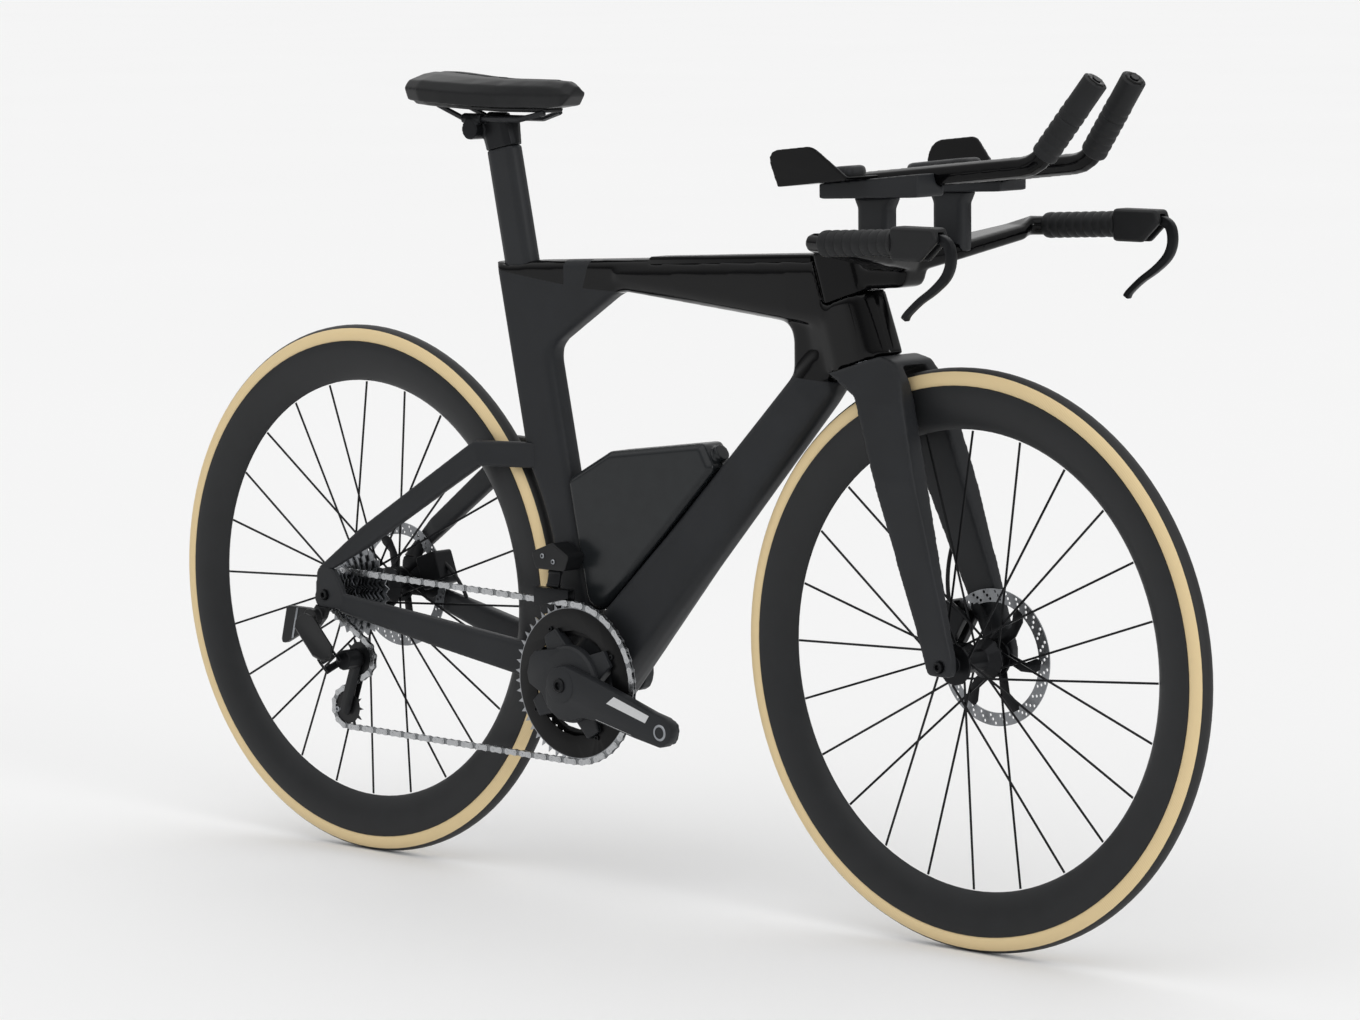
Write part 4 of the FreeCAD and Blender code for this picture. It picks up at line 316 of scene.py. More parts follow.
tree, shader, place = begin("gloss_carbon")
cloud = add(tree, "ShaderNodeTexNoise", {"Vector": place, "Scale": per_mm(cloud_size)})
tone = add(tree, "ShaderNodeMix", {SHARE: cloud.outputs["Fac"], FIRST: gloss_black, SECOND: gloss_light},
           data_type="RGBA")
gloss = add(tree, "ShaderNodeMapRange", {"Value": cloud.outputs["Fac"], "To Min": 0.10, "To Max": 0.17})
fill(tree, shader, {"Base Color": tone.outputs[MIXED], "Roughness": gloss.outputs[0],
                    "Specular IOR Level": gloss_shine})

tree, shader, place = begin("two_tone_carbon")
axes = add(tree, "ShaderNodeSeparateXYZ", {0: place})
past = {}
for name, (slope_x, slope_z, out) in border_lines.items():
    lean = add(tree, "ShaderNodeMath", {0: axes.outputs["X"], 1: slope_x}, operation="MULTIPLY")
    rise = add(tree, "ShaderNodeMath", {0: axes.outputs["Z"], 1: slope_z, 2: lean.outputs[0]},
               operation="MULTIPLY_ADD")
    edge = add(tree, "ShaderNodeMapRange",
               {"Value": rise.outputs[0], "From Min": out - border_soft, "From Max": out + border_soft})
    past[name] = edge.outputs[0]
brow = add(tree, "ShaderNodeMath", {0: past["brow_start"], 1: past["brow_low"]}, operation="MAXIMUM")
ahead = add(tree, "ShaderNodeMath", {0: past["seat_side"], 1: brow.outputs[0]}, operation="MULTIPLY")
front = add(tree, "ShaderNodeMath", {0: ahead.outputs[0], 1: past["under_head"]}, operation="MULTIPLY")
clamp_side = add(tree, "ShaderNodeMapRange",
                 {"Value": axes.outputs["X"], "From Min": clamp_end + border_soft,
                  "From Max": clamp_end - border_soft})
clamp = add(tree, "ShaderNodeMath", {0: past["clamp_low"], 1: clamp_side.outputs[0]}, operation="MULTIPLY")
lacquer = add(tree, "ShaderNodeMath", {0: front.outputs[0], 1: clamp.outputs[0]}, operation="MAXIMUM")
cloud = add(tree, "ShaderNodeTexNoise", {"Vector": place, "Scale": per_mm(cloud_size), "Detail": 3.0})
satin = add(tree, "ShaderNodeMix", {SHARE: cloud.outputs["Fac"], FIRST: satin_dark, SECOND: satin_light},
            data_type="RGBA")
tone = add(tree, "ShaderNodeMix",
           {SHARE: lacquer.outputs[0], FIRST: satin.outputs[MIXED], SECOND: gloss_black}, data_type="RGBA")
gloss = add(tree, "ShaderNodeMapRange", {"Value": lacquer.outputs[0], "To Min": 0.47, "To Max": 0.12})
fill(tree, shader, {"Base Color": tone.outputs[MIXED], "Roughness": gloss.outputs[0],
                    "Specular IOR Level": two_tone_shine})
print("carbon finishes", sorted(finishes))

# %% [markdown]
# ## Metals and plastics
# Anodised alloy is dark with a fine satin sheen. Bare alloy and steel show turning marks.
# Moulded plastic has a fine spark-eroded grain that softens its shine.
# Marks and grain are drawn coarser than in life, since their true size would not show from here.

# %% Metal and plastic finishes
coat_shine, sheen_spread, shade_size = 0.3, 0.08, 20.0
# Each metal: its dark and light colour, how metallic and how rough it is, and the size of its marks.
metal_table = {
    "black_alloy": ("#17181a", "#1f2022", 0.6, 0.38, 6.0),
    "bare_alloy": ("#8b8e93", "#a3a6aa", 1.0, 0.30, 2.5),
    "steel": ("#77797c", "#96989b", 1.0, 0.30, 3.0),
    "panel_silver": ("#c9cacb", "#d6d7d8", 0.4, 0.40, 4.0),
    "chain_plate": ("#a4a6a8", "#c2c3c5", 1.0, 0.28, 2.0),
    "chain_roller": ("#77797b", "#8b8d8f", 1.0, 0.34, 2.0),
    "black_steel": ("#101113", "#18191b", 0.5, 0.36, 5.0),
    "brake_lining": ("#453f3b", "#57504b", 0.3, 0.75, 1.2),
}
for name, (dark, light, metallic, roughness, mark) in metal_table.items():
    tree, shader, place = begin(name)
    marks = add(tree, "ShaderNodeTexNoise", {"Vector": place, "Scale": per_mm(mark), "Detail": 4.0})
    tone = add(tree, "ShaderNodeMix",
               {SHARE: marks.outputs["Fac"], FIRST: linear(dark), SECOND: linear(light)}, data_type="RGBA")
    gloss = add(tree, "ShaderNodeMapRange",
                {"Value": marks.outputs["Fac"], "To Min": roughness - sheen_spread,
                 "To Max": roughness + sheen_spread})
    fill(tree, shader, {"Base Color": tone.outputs[MIXED], "Roughness": gloss.outputs[0],
                        "Metallic": metallic})
    if metallic < 1.0:
        fill(tree, shader, {"Specular IOR Level": coat_shine})

# Each plastic: its dark and light colour, how rough it is, and the size and depth of its grain.
plastic_table = {
    "black_plastic": ("#101112", "#17181a", 0.42, 0.8, 0.15),
    "smoke_plastic": ("#1a1c1e", "#212426", 0.24, 1.2, 0.05),
    "carbon_rail": ("#1a1b1d", "#242528", 0.38, 1.5, 0.10),
    "hose_rubber": ("#141517", "#1a1b1c", 0.5, 0.8, 0.20),
    "hood_rubber": ("#101112", "#161719", 0.50, 0.9, 0.30),
    "grip_tape": ("#121314", "#191a1c", 0.58, 1.4, 0.35),
}
for name, (dark, light, roughness, grit, depth) in plastic_table.items():
    tree, shader, place = begin(name)
    grain = add(tree, "ShaderNodeTexNoise", {"Vector": place, "Scale": per_mm(grit), "Detail": 2.0})
    shade = add(tree, "ShaderNodeTexNoise", {"Vector": place, "Scale": per_mm(shade_size)})
    tone = add(tree, "ShaderNodeMix",
               {SHARE: shade.outputs["Fac"], FIRST: linear(dark), SECOND: linear(light)}, data_type="RGBA")
    bump = add(tree, "ShaderNodeBump",
               {"Height": grain.outputs["Fac"], "Strength": depth, "Distance": 0.2 / MM})
    fill(tree, shader, {"Base Color": tone.outputs[MIXED], "Normal": bump.outputs[0],
                        "Roughness": roughness, "Specular IOR Level": coat_shine})
print("finishes", len(finishes))

# %% [markdown]
# ## Soft covers
# The saddle has a matte synthetic cover with a fine pore grain, and the arm pads a knitted face over foam.
# The stitches are drawn coarser than in life, so that they show.

# %% Cover finishes
pore_size, cover_shade, stitch_size = 1.3, 35.0, 9.0

tree, shader, place = begin("saddle_cover")
pores = add(tree, "ShaderNodeTexVoronoi", {"Vector": place, "Scale": per_mm(pore_size)})
shade = add(tree, "ShaderNodeTexNoise", {"Vector": place, "Scale": per_mm(cover_shade)})
tone = add(tree, "ShaderNodeMix",
           {SHARE: shade.outputs["Fac"], FIRST: linear("#0d0e0f"), SECOND: linear("#141517")},
           data_type="RGBA")
bump = add(tree, "ShaderNodeBump",
           {"Height": pores.outputs["Distance"], "Strength": 0.35, "Distance": 0.2 / MM})
fill(tree, shader, {"Base Color": tone.outputs[MIXED], "Normal": bump.outputs[0], "Roughness": 0.42,
                    "Specular IOR Level": coat_shine})

tree, shader, place = begin("pad_fabric")
knit = add(tree, "ShaderNodeTexWave",
           {"Vector": place, "Scale": per_mm(stitch_size), "Distortion": 2.0, "Detail Scale": 4.0})
tone = add(tree, "ShaderNodeMix",
           {SHARE: knit.outputs["Fac"], FIRST: linear("#17181a"), SECOND: linear("#242528")},
           data_type="RGBA")
bump = add(tree, "ShaderNodeBump", {"Height": knit.outputs["Fac"], "Strength": 0.4, "Distance": 0.3 / MM})
fill(tree, shader, {"Base Color": tone.outputs[MIXED], "Normal": bump.outputs[0], "Roughness": 0.85,
                    "Sheen Weight": 0.2})

# %% [markdown]
# ## Tyres and rims
# A tyre is a turned form: a round section spun about the axle. Its tread is black rubber and its side walls
# show the tan cotton carcass under a thin coat, with slanting threads drawn coarser than in life.
# The rim is a deep carbon section, spun the same way, with a satin finish.

# %% Tyre and rim finishes
file_size, thread_size, coat_size, rim_cloud = 1.5, 6.0, 18.0, 30.0

tree, shader, place = begin("tread_rubber")
file_marks = add(tree, "ShaderNodeTexNoise", {"Vector": place, "Scale": per_mm(file_size), "Detail": 3.0})
tone = add(tree, "ShaderNodeMix",
           {SHARE: file_marks.outputs["Fac"], FIRST: linear("#121213"), SECOND: linear("#1b1b1c")},
           data_type="RGBA")
bump = add(tree, "ShaderNodeBump",
           {"Height": file_marks.outputs["Fac"], "Strength": 0.3, "Distance": 0.3 / MM})
fill(tree, shader, {"Base Color": tone.outputs[MIXED], "Normal": bump.outputs[0], "Roughness": 0.6})

tree, shader, place = begin("tan_side_wall")
weave = add(tree, "ShaderNodeTexWave", {"Vector": place, "Scale": per_mm(thread_size), "Distortion": 1.5},
            bands_direction="DIAGONAL")
cloud = add(tree, "ShaderNodeTexNoise", {"Vector": place, "Scale": per_mm(coat_size), "Detail": 3.0})
thread = add(tree, "ShaderNodeMix",
             {SHARE: weave.outputs["Fac"], FIRST: linear("#dcc392"), SECOND: linear("#e6d0a4")},
             data_type="RGBA")
tone = add(tree, "ShaderNodeMix",
           {SHARE: cloud.outputs["Fac"], FIRST: thread.outputs[MIXED], SECOND: linear("#e4cc9c")},
           data_type="RGBA")
bump = add(tree, "ShaderNodeBump", {"Height": weave.outputs["Fac"], "Strength": 0.15, "Distance": 0.2 / MM})
fill(tree, shader, {"Base Color": tone.outputs[MIXED], "Normal": bump.outputs[0], "Roughness": 0.6})

tree, shader, place = begin("rim_carbon")
cloud = add(tree, "ShaderNodeTexNoise", {"Vector": place, "Scale": per_mm(rim_cloud), "Detail": 3.0})
tone = add(tree, "ShaderNodeMix",
           {SHARE: cloud.outputs["Fac"], FIRST: linear("#1d1e1f"), SECOND: linear("#252628")},
           data_type="RGBA")
gloss = add(tree, "ShaderNodeMapRange", {"Value": cloud.outputs["Fac"], "To Min": 0.38, "To Max": 0.48})
fill(tree, shader, {"Base Color": tone.outputs[MIXED], "Roughness": gloss.outputs[0],
                    "Specular IOR Level": satin_shine})
print("wheel finishes ready")


# %% Spun forms
def spun(name, profile, centre, way=(0, 1, 0), steps=120):
    """A closed profile of radius and height, in millimetres, spun about an axis through a centre."""
    axis = Vector(way).normalized()
    out = axis.orthogonal().normalized()
    bpy.ops.object.select_all(action="DESELECT")
    bpy.ops.mesh.primitive_circle_add(vertices=len(profile), radius=blank_radius)
    made = bpy.context.object
    made.name = name
    for vertex, (radius, height) in zip(made.data.vertices, profile):
        vertex.co = centre + (out * radius + axis * height) / MM
    bpy.ops.object.mode_set(mode="EDIT")
    bpy.ops.mesh.select_all(action="SELECT")
    bpy.ops.mesh.spin(steps=steps, angle=math.tau, center=centre, axis=axis)
    bpy.ops.mesh.select_all(action="SELECT")
    bpy.ops.mesh.remove_doubles(threshold=spun_weld)
    bpy.ops.mesh.dissolve_degenerate(threshold=spun_sliver)
    bpy.ops.mesh.delete_loose()
    bpy.ops.mesh.select_all(action="SELECT")
    bpy.ops.mesh.normals_make_consistent(inside=False)
    bpy.ops.object.mode_set(mode="OBJECT")
    return made


# %% Tyres and rims
axle_places = {"front": (498, 338), "rear": (-498, 338)}
axles = {end: mm(x, 0, z) for end, (x, z) in axle_places.items()}
tyre_ring, tyre_round, tyre_points = 324.0, 14.0, 32
tread_angle, face_slack = math.radians(45.0), 0.1
tread_edge = tyre_ring + tyre_round * math.cos(tread_angle) - face_slack
tyre_profile = []
for i in range(tyre_points):
    angle = math.tau * i / tyre_points
    tyre_profile.append((tyre_ring + tyre_round * math.cos(angle), tyre_round * math.sin(angle)))
rim_half = [(318.0, 12.6), (317.6, 13.6), (316.0, 14.0), (306.0, 14.0), (296.0, 13.3), (286.0, 11.4)]
rim_half += [(278.0, 8.6), (272.0, 5.2), (268.6, 2.4)]
rim_profile = [(313.0, -11.0), (313.0, 11.0)] + rim_half + [(267.0, 0.0)]
rim_profile += [(radius, -side) for radius, side in reversed(rim_half)]
for end, axle in axles.items():
    wheel = end + "_wheel"
    tyre = spun(end + "_tyre_casing", tyre_profile, axle)
    smooth(tyre, 50)
    dress(tyre, "tan_side_wall", wheel, "tyre_rubber", end + "_tyre")
    tyre.data.materials.append(finishes["tread_rubber"])
    for face in tyre.data.polygons:
        out = face.center - axle
        if math.hypot(out.x, out.z) > tread_edge / MM:
            face.material_index = 1
    rim = spun(end + "_rim_shell", rim_profile, axle)
    smooth(rim, 40)
    dress(rim, "rim_carbon", wheel, slot_of[end + "_rim"], end + "_rim")

# %% [markdown]
# ## Carbon mouldings
# A moulded carbon shape has no sharp edge. Each solid is copied, remeshed and relaxed, so that its
# corners round over by a few millimetres, as they do where cloth is laid in a mould.

# %% Mouldings
# Each moulding: its finish, its voxel in millimetres and the rounds of relaxing.
mouldings = {
    "front_triangle": ("two_tone_carbon", 2.6, 14),
    "fork": ("satin_carbon", 2.2, 12),
    "seat_stays": ("satin_carbon", 2.0, 6),
    "chain_stays": ("satin_carbon", 2.0, 6),
    "seatpost": ("satin_carbon", 2.0, 8),
    "base_bar": ("gloss_carbon", 1.8, 12),
    "risers": ("satin_carbon", 1.6, 6),
    "extensions": ("gloss_carbon", 1.6, 10),
    "tilt_mounts": ("satin_carbon", 1.4, 8),
    "arm_cups": ("gloss_carbon", 1.2, 6),
    "brake_hoods": ("hood_rubber", 0.9, 10),
    "seatpost_head": ("black_alloy", 1.2, 5),
    "saddle_shell": ("black_plastic", 1.2, 5),
    "bottle": ("smoke_plastic", 1.6, 4),
    "crank_right": ("satin_carbon", 1.1, 7),
    "crank_left": ("satin_carbon", 1.1, 7),
}
for node, (finish, voxel, rounds) in mouldings.items():
    moulding(node, finish, voxel, rounds)

# %% [markdown]
# ## Cast and machined pieces
# Hubs, calipers and derailleur housings are cast or moulded small, so they are remeshed finely.
# Flat plates such as the lid and the cages are cut, so their edges are only broken by a small bevel.

# %% Small castings
casting_voxel, casting_rounds = 0.8, 6
castings = {
    "front_hub": "black_alloy", "rear_hub": "black_alloy",
    "front_caliper": "black_alloy", "rear_caliper": "black_alloy",
    "fd_body": "black_plastic", "rd_body": "black_plastic",
    "rd_link": "black_alloy", "rd_knuckle": "black_alloy",
}
for node, finish in castings.items():
    moulding(node, finish, casting_voxel, casting_rounds)

# %% Machined
machined("top_tube_lid", "gloss_carbon", edge=0.8)
for node in ("fd_link", "fd_cage", "rd_cage"):
    machined(node, "black_alloy", edge=0.5)


# %% [markdown]
# ## Small metal parts
# A flat part is an outline cut from plate: a filled circle whose corners are set to the outline, pushed to
# its thickness, with its edges broken. A bolt head is turned, with its socket in the same profile.

# %% Plates and bolts
def cut_plate(name, outline, push, edge):
    """A plate with this outline, pushed out by a vector and its edges broken by so many millimetres."""
    bpy.ops.object.select_all(action="DESELECT")
    bpy.ops.mesh.primitive_circle_add(vertices=len(outline), radius=blank_radius, fill_type="NGON")
    made = bpy.context.object
    made.name = name
    for vertex, place in zip(made.data.vertices, outline):
        vertex.co = place
    bpy.ops.object.mode_set(mode="EDIT")
    bpy.ops.mesh.select_all(action="SELECT")
    bpy.ops.mesh.extrude_region_move(TRANSFORM_OT_translate={"value": push})
    bpy.ops.mesh.select_all(action="SELECT")
    bpy.ops.mesh.normals_make_consistent(inside=False)
    bpy.ops.object.mode_set(mode="OBJECT")
    if edge:
        bevelled(made, edge, plate_corner)
    smooth(made, 35)
    return made


def joined(name, parts):
    """Several pieces as one object at the origin."""
    only(parts[0])
    for part in parts:
        part.select_set(True)
    bpy.ops.object.join()
    bpy.ops.object.transform_apply(location=True, rotation=True, scale=True)
    parts[0].name = name
    return parts[0]


def placed(master, matrix):
    """A copy of a piece, with a mesh of its own, put in its place."""
    made = master.copy()
    made.data = master.data.copy()
    scene.collection.objects.link(made)
    made.matrix_world = matrix
    return made


bolt_profile = [(0, 0.5), (1.9, 0.5), (2.2, 2.5), (3.3, 2.5), (4.0, 1.9), (4.0, -1.0), (0, -1.0)]
bolt_master = spun("bolt_master", bolt_profile, Vector(), (0, 0, 1), 18)
smooth(bolt_master, 35)


def bolts(name, finish, node, heads):
    """Bolt heads on the body of one solid: each has a place in millimetres, a direction and a size."""
    made = []
    for place, way, size in heads:
        turn = Vector(way).to_track_quat("Z", "Y").to_matrix().to_4x4()
        made.append(placed(bolt_master, Matrix.Translation(mm(*place)) @ turn @ Matrix.Scale(size, 4)))
    return dress(joined(name, made), finish, body_of[node], slot_of[node])


def side_of(node, pick):
    """The lowest or highest y of a solid, in millimetres."""
    return pick(vertex.co.y for vertex in frame["nodes"][node].data.vertices) * MM


to_right, to_left = (0, -1, 0), (0, 1, 0)
axle_head, pulley_head, fd_head = 1.5, 0.9, 0.8
pulley_places = ((-467, 257), (-490.64, 191.11))
fd_offsets, fd_sink = ((-12, 0), (6, -6)), 0.6
for end, (x, z) in axle_places.items():
    node = end + "_axle"
    sides = ((side_of(node, min), to_right), (side_of(node, max), to_left))
    bolts(node + "_ends", "black_steel", node, [((x, y, z), way, axle_head) for y, way in sides])
cage_side = side_of("rd_cage", min)
heads = [((x, cage_side, z), to_right, pulley_head) for x, z in pulley_places]
bolts("pulley_bolts", "bare_alloy", "rd_cage", heads)
fd_side = side_of("fd_body", min) + fd_sink
fd_corners = [vertex.co * MM for vertex in frame["nodes"]["fd_body"].data.vertices]
fd_x = (min(c.x for c in fd_corners) + max(c.x for c in fd_corners)) / 2
fd_z = (min(c.z for c in fd_corners) + max(c.z for c in fd_corners)) / 2
heads = [((fd_x + x, fd_side, fd_z + z), to_right, fd_head) for x, z in fd_offsets]
bolts("fd_bolts", "bare_alloy", "fd_body", heads)

# %% [markdown]
# ## Brake levers
# A lever is a forged blade that bows forward from its pivot and hooks back to the tip.
# Its side view is a smooth line with a thickness at each place, cut as a plate with rounded edges.

# %% Lever blades
bar_half = 199
blade_half, blade_edge, blade_steps = 4.5, 1.8, 4
lever_line = [(594, 836, 5.2), (604, 837, 5.6), (619, 837, 5.6), (629, 829, 5.8), (631, 812, 5.6),
              (624, 796, 5.2), (607, 781, 4.4), (587, 768, 3.8), (570, 754, 3.6), (565, 747, 4.2)]


def curve_through(stations, steps):
    """Places on a smooth curve through all the stations, so many to each stretch."""
    rows = [Vector(row) for row in stations]
    rows = [rows[0] * 2 - rows[1]] + rows + [rows[-1] * 2 - rows[-2]]
    made = []
    for i in range(1, len(rows) - 2):
        before, start, end, after = rows[i - 1:i + 3]
        for j in range(steps):
            t = j / steps
            bend = (before * 2 - start * 5 + end * 4 - after) * t
            bend += (start * 3 - before - end * 3 + after) * t * t
            made.append(start + (end - before + bend) * t * 0.5)
    return made + [rows[-2]]


blade_line = curve_through(lever_line, blade_steps)
upper, lower = [], []
for i, (x, z, half) in enumerate(blade_line):
    ahead, behind = blade_line[min(i + 1, len(blade_line) - 1)], blade_line[max(i - 1, 0)]
    run = Vector((ahead.x - behind.x, ahead.y - behind.y)).normalized()
    upper.append((x - run.y * half, z + run.x * half))
    lower.append((x + run.y * half, z - run.x * half))
for node, side in (("lever_left", bar_half), ("lever_right", -bar_half)):
    outline = [mm(x, side - blade_half, z) for x, z in upper + lower[::-1]]
    blade = cut_plate(node + "_blade", outline, mm(0, blade_half * 2, 0), blade_edge)
    dress(blade, "black_alloy", node, slot_of[node], node)

# %% [markdown]
# ## Cranks and chainrings
# The arm is dark moulded carbon. A round cover with one lug sits behind it and hides the spider's middle.
# The rings are black plates whose teeth are worn bright, so their finish changes with the distance from
# the axle. The panels that carry lettering on the photographed arm stay plain silver here.

# %% Ring finish
bracket_x, bracket_z = -90.206, 261
bracket = mm(bracket_x, 0, bracket_z)
teeth_start, teeth_end, wear_size = 0.0915, 0.0925, 3.0
tree, shader, place = begin("ring_alloy")
reach = add(tree, "ShaderNodeVectorMath", {0: place, 1: bracket}, operation="SUBTRACT")
flat = add(tree, "ShaderNodeVectorMath", {0: reach.outputs[0], 1: (1, 0, 1)}, operation="MULTIPLY")
distance = add(tree, "ShaderNodeVectorMath", {0: flat.outputs[0]}, operation="LENGTH")
teeth = add(tree, "ShaderNodeMapRange",
            {"Value": distance.outputs["Value"], "From Min": teeth_start, "From Max": teeth_end})
marks = add(tree, "ShaderNodeTexNoise", {"Vector": place, "Scale": per_mm(wear_size), "Detail": 4.0})
bright = add(tree, "ShaderNodeMix",
             {SHARE: marks.outputs["Fac"], FIRST: linear("#8f9195"), SECOND: linear("#b0b2b5")},
             data_type="RGBA")
tone = add(tree, "ShaderNodeMix",
           {SHARE: teeth.outputs[0], FIRST: linear("#070708"), SECOND: bright.outputs[MIXED]},
           data_type="RGBA")
fill(tree, shader, {"Base Color": tone.outputs[MIXED], "Metallic": teeth.outputs[0], "Roughness": 0.34,
                    "Specular IOR Level": 0.2})
machined("chainrings", "ring_alloy", edge=0.25)

# %% Crank cover, bolts and panels
crank_way, crank_across = Vector((0.9703, 0, -0.2419)), Vector((0.2419, 0, 0.9703))
crank_slot = slot_of["crank_right"]


def on_crank(along, across, side):
    """A place on the right crank: along the arm, across it and out along the axle, in millimetres."""
    return bracket + (crank_way * along + crank_across * across) / MM + mm(0, side, 0)


cover_profile = [(0, -63.5), (38, -63.5), (44, -62.5), (47, -60), (48, -56.5), (48, -52), (0, -52)]
lug_shape = ((-20, -30), (-62, -20), (-68, -8), (-68, 12), (-62, 22), (-20, 40))
lug_face, lug_depth, lug_edge = -63, 9, 2.0
cover = spun("crank_cover", cover_profile, bracket, steps=72)
smooth(cover, 30)
lug_outline = [on_crank(x, z, lug_face) for x, z in lug_shape]
lug = cut_plate("crank_lug", lug_outline, mm(0, lug_depth, 0), lug_edge)
dress(joined("crank_cover", [cover, lug]), "satin_carbon", "cranks", crank_slot)

boss_profile = [(9, -76.1), (20.5, -76.1), (22, -75.4), (22, -72), (9, -72)]
boss = spun("crank_boss", boss_profile, bracket, steps=48)
smooth(boss, 30)
dress(boss, "satin_carbon", "cranks", crank_slot)
crank_bolt_y, crank_bolt_head = -73.6, 2.2
bolts("crank_bolt", "black_alloy", "crank_right",
      [((bracket_x, crank_bolt_y, bracket_z), to_right, crank_bolt_head)])

pedal_eye = mm(74.7, 0, 219.9)
insert_profile = [(7.2, -75.7), (9.4, -75.7), (10.2, -75.0), (10.2, -57), (7.2, -57)]
insert = spun("pedal_insert", insert_profile, pedal_eye, steps=32)
smooth(insert, 30)
dress(insert, "bare_alloy", "cranks", crank_slot)

skin_back, skin_depth, skin_edge = -59, 16.2, 3.5
eye_along, eye_length, eye_width = 167, 20, 19.5
skin_outline = [(-18, 18), (0, 25.5), (40, 25), (90, 22.5), (150, 18.5)]
for degrees in (75, 50, 25, 0, -25, -50, -75):
    angle = math.radians(degrees)
    skin_outline.append((eye_along + eye_length * math.cos(angle), eye_width * math.sin(angle)))
skin_outline += [(130, -21.5), (66, -23), (44, -27), (24, -38), (6, -42), (-16, -34), (-24, -12)]
skin_corners = [on_crank(x, z, skin_back) for x, z in skin_outline]
skin = cut_plate("crank_skin", skin_corners, mm(0, -skin_depth, 0), skin_edge)
dress(skin, "satin_carbon", "cranks", crank_slot)

panel_face, panel_thick, stripe_drop = -75.1, 0.3, 0.2
panel_shape = ((79, 5), (89, 17), (149, 14), (145, 3.5))
panel_outline = [on_crank(x, z, panel_face) for x, z in panel_shape]
panel = cut_plate("crank_panel", panel_outline, mm(0, -panel_thick, 0), 0)
stripe_shape = ((62, -22.6, -72), (67, -19.8, -75), (126, -18.4, -75), (130, -21, -72))
stripe_outline = [on_crank(*place) for place in stripe_shape]
stripe = cut_plate("crank_stripe", stripe_outline, mm(0, -panel_thick, -stripe_drop), 0)
dress(joined("crank_panels", [panel, stripe]), "panel_silver", "cranks", crank_slot)

ring_bolt_circle, ring_bolt_y, ring_bolt_head, ring_bolt_start = 74, -50.1, 0.8, 31
ring_bolts = []
for i in range(4):
    angle = math.radians(ring_bolt_start + 90 * i)
    x = bracket_x + ring_bolt_circle * math.cos(angle)
    z = bracket_z + ring_bolt_circle * math.sin(angle)
    ring_bolts.append(((x, ring_bolt_y, z), to_right, ring_bolt_head))
bolts("ring_bolts", "black_steel", "chainrings", ring_bolts)

# %% [markdown]
# ## The chain
# A roller chain has outer links, two plates on two pins, and inner links, two plates on two rollers.
# Each kind is modelled once. The solid's own blocks say where each link lies and which way it points.

# %% Chain links
pitch, plate_round, waist = 12.7, 4.1, 3.0
chain_line, side_slack = -49.0 / MM, 1 / MM
link_outline = []
for side in (1, -1):
    for degrees in (-75, -37, 0, 37, 75):
        angle = math.radians(degrees if side > 0 else degrees + 180)
        x = side * pitch / 2 + plate_round * math.cos(angle)
        link_outline.append((x, plate_round * math.sin(angle)))
    link_outline.append((0, side * waist))


def chain_link(name, inside, outside, rod_profile):
    """Two plates of figure-eight outline and two turned rods through their ends."""
    parts = []
    for low, high in ((inside, outside), (-outside, -inside)):
        plate = [mm(x, low, z) for x, z in link_outline]
        parts.append(cut_plate(name, plate, mm(0, high - low, 0), 0))
    for side in (1, -1):
        parts.append(spun(name, rod_profile, mm(side * pitch / 2, 0, 0), steps=8))
    made = joined(name, parts)
    smooth(made, 40)
    return made


pin_profile = [(0, -3.2), (1.9, -3.0), (1.9, 3.0), (0, 3.2)]
roller_profile = [(0, -1.3), (3.85, -1.3), (3.85, 1.3), (0, 1.3)]
outer_link = chain_link("outer_link", inside=2.05, outside=2.75, rod_profile=pin_profile)
inner_link = chain_link("inner_link", inside=1.15, outside=1.95, rod_profile=roller_profile)
copy_of("chain", "chain_blocks")
bpy.ops.object.mode_set(mode="EDIT")
bpy.ops.mesh.select_all(action="SELECT")
bpy.ops.mesh.separate(type="LOOSE")
bpy.ops.object.mode_set(mode="OBJECT")
blocks = list(bpy.context.selected_objects)
inner_links, outer_links = [], []
for block in blocks:
    corners = [vertex.co for vertex in block.data.vertices]
    middle = sum(corners, Vector()) / len(corners)
    spread = [corner - middle for corner in corners]
    lean = sum(s.x * s.x - s.z * s.z for s in spread)
    angle = 0.5 * math.atan2(2 * sum(s.x * s.z for s in spread), lean)
    # An outer link has a block for each plate, so only the one on the right is counted.
    if middle.y > chain_line + side_slack:
        continue
    inner = abs(middle.y - chain_line) < side_slack
    middle.y = chain_line
    turn = Matrix.Translation(middle) @ Matrix.Rotation(-angle, 4, "Y")
    if inner:
        inner_links.append(placed(inner_link, turn))
    else:
        outer_links.append(placed(outer_link, turn))
for spare in blocks + [inner_link, outer_link]:
    bpy.data.objects.remove(spare)
print("links", len(inner_links), len(outer_links))
dress(joined("chain_outer", outer_links), "chain_plate", body_of["chain"], slot_of["chain"], "chain")
dress(joined("chain_inner", inner_links), "chain_roller", body_of["chain"], slot_of["chain"])

# %% [markdown]
# ## Derailleur covers
# The rear derailleur's link has a rounded cover on its outer side.
# A silver strip parts the battery from its mount.

# %% Rear derailleur
link_root, link_way = mm(-510.15, -102, 301.95), Vector((0.6925, 0, -0.7214))
link_axis = Vector((0.55, 0.65, 0.52)).normalized()
link_swing = Vector((-0.47, 0.76, -0.45)).normalized()


def on_link(along, across, out):
    """A place on the derailleur link: along it, along its pivots and out from it, in millimetres."""
    return link_root + (link_way * along + link_axis * across - link_swing * out) / MM


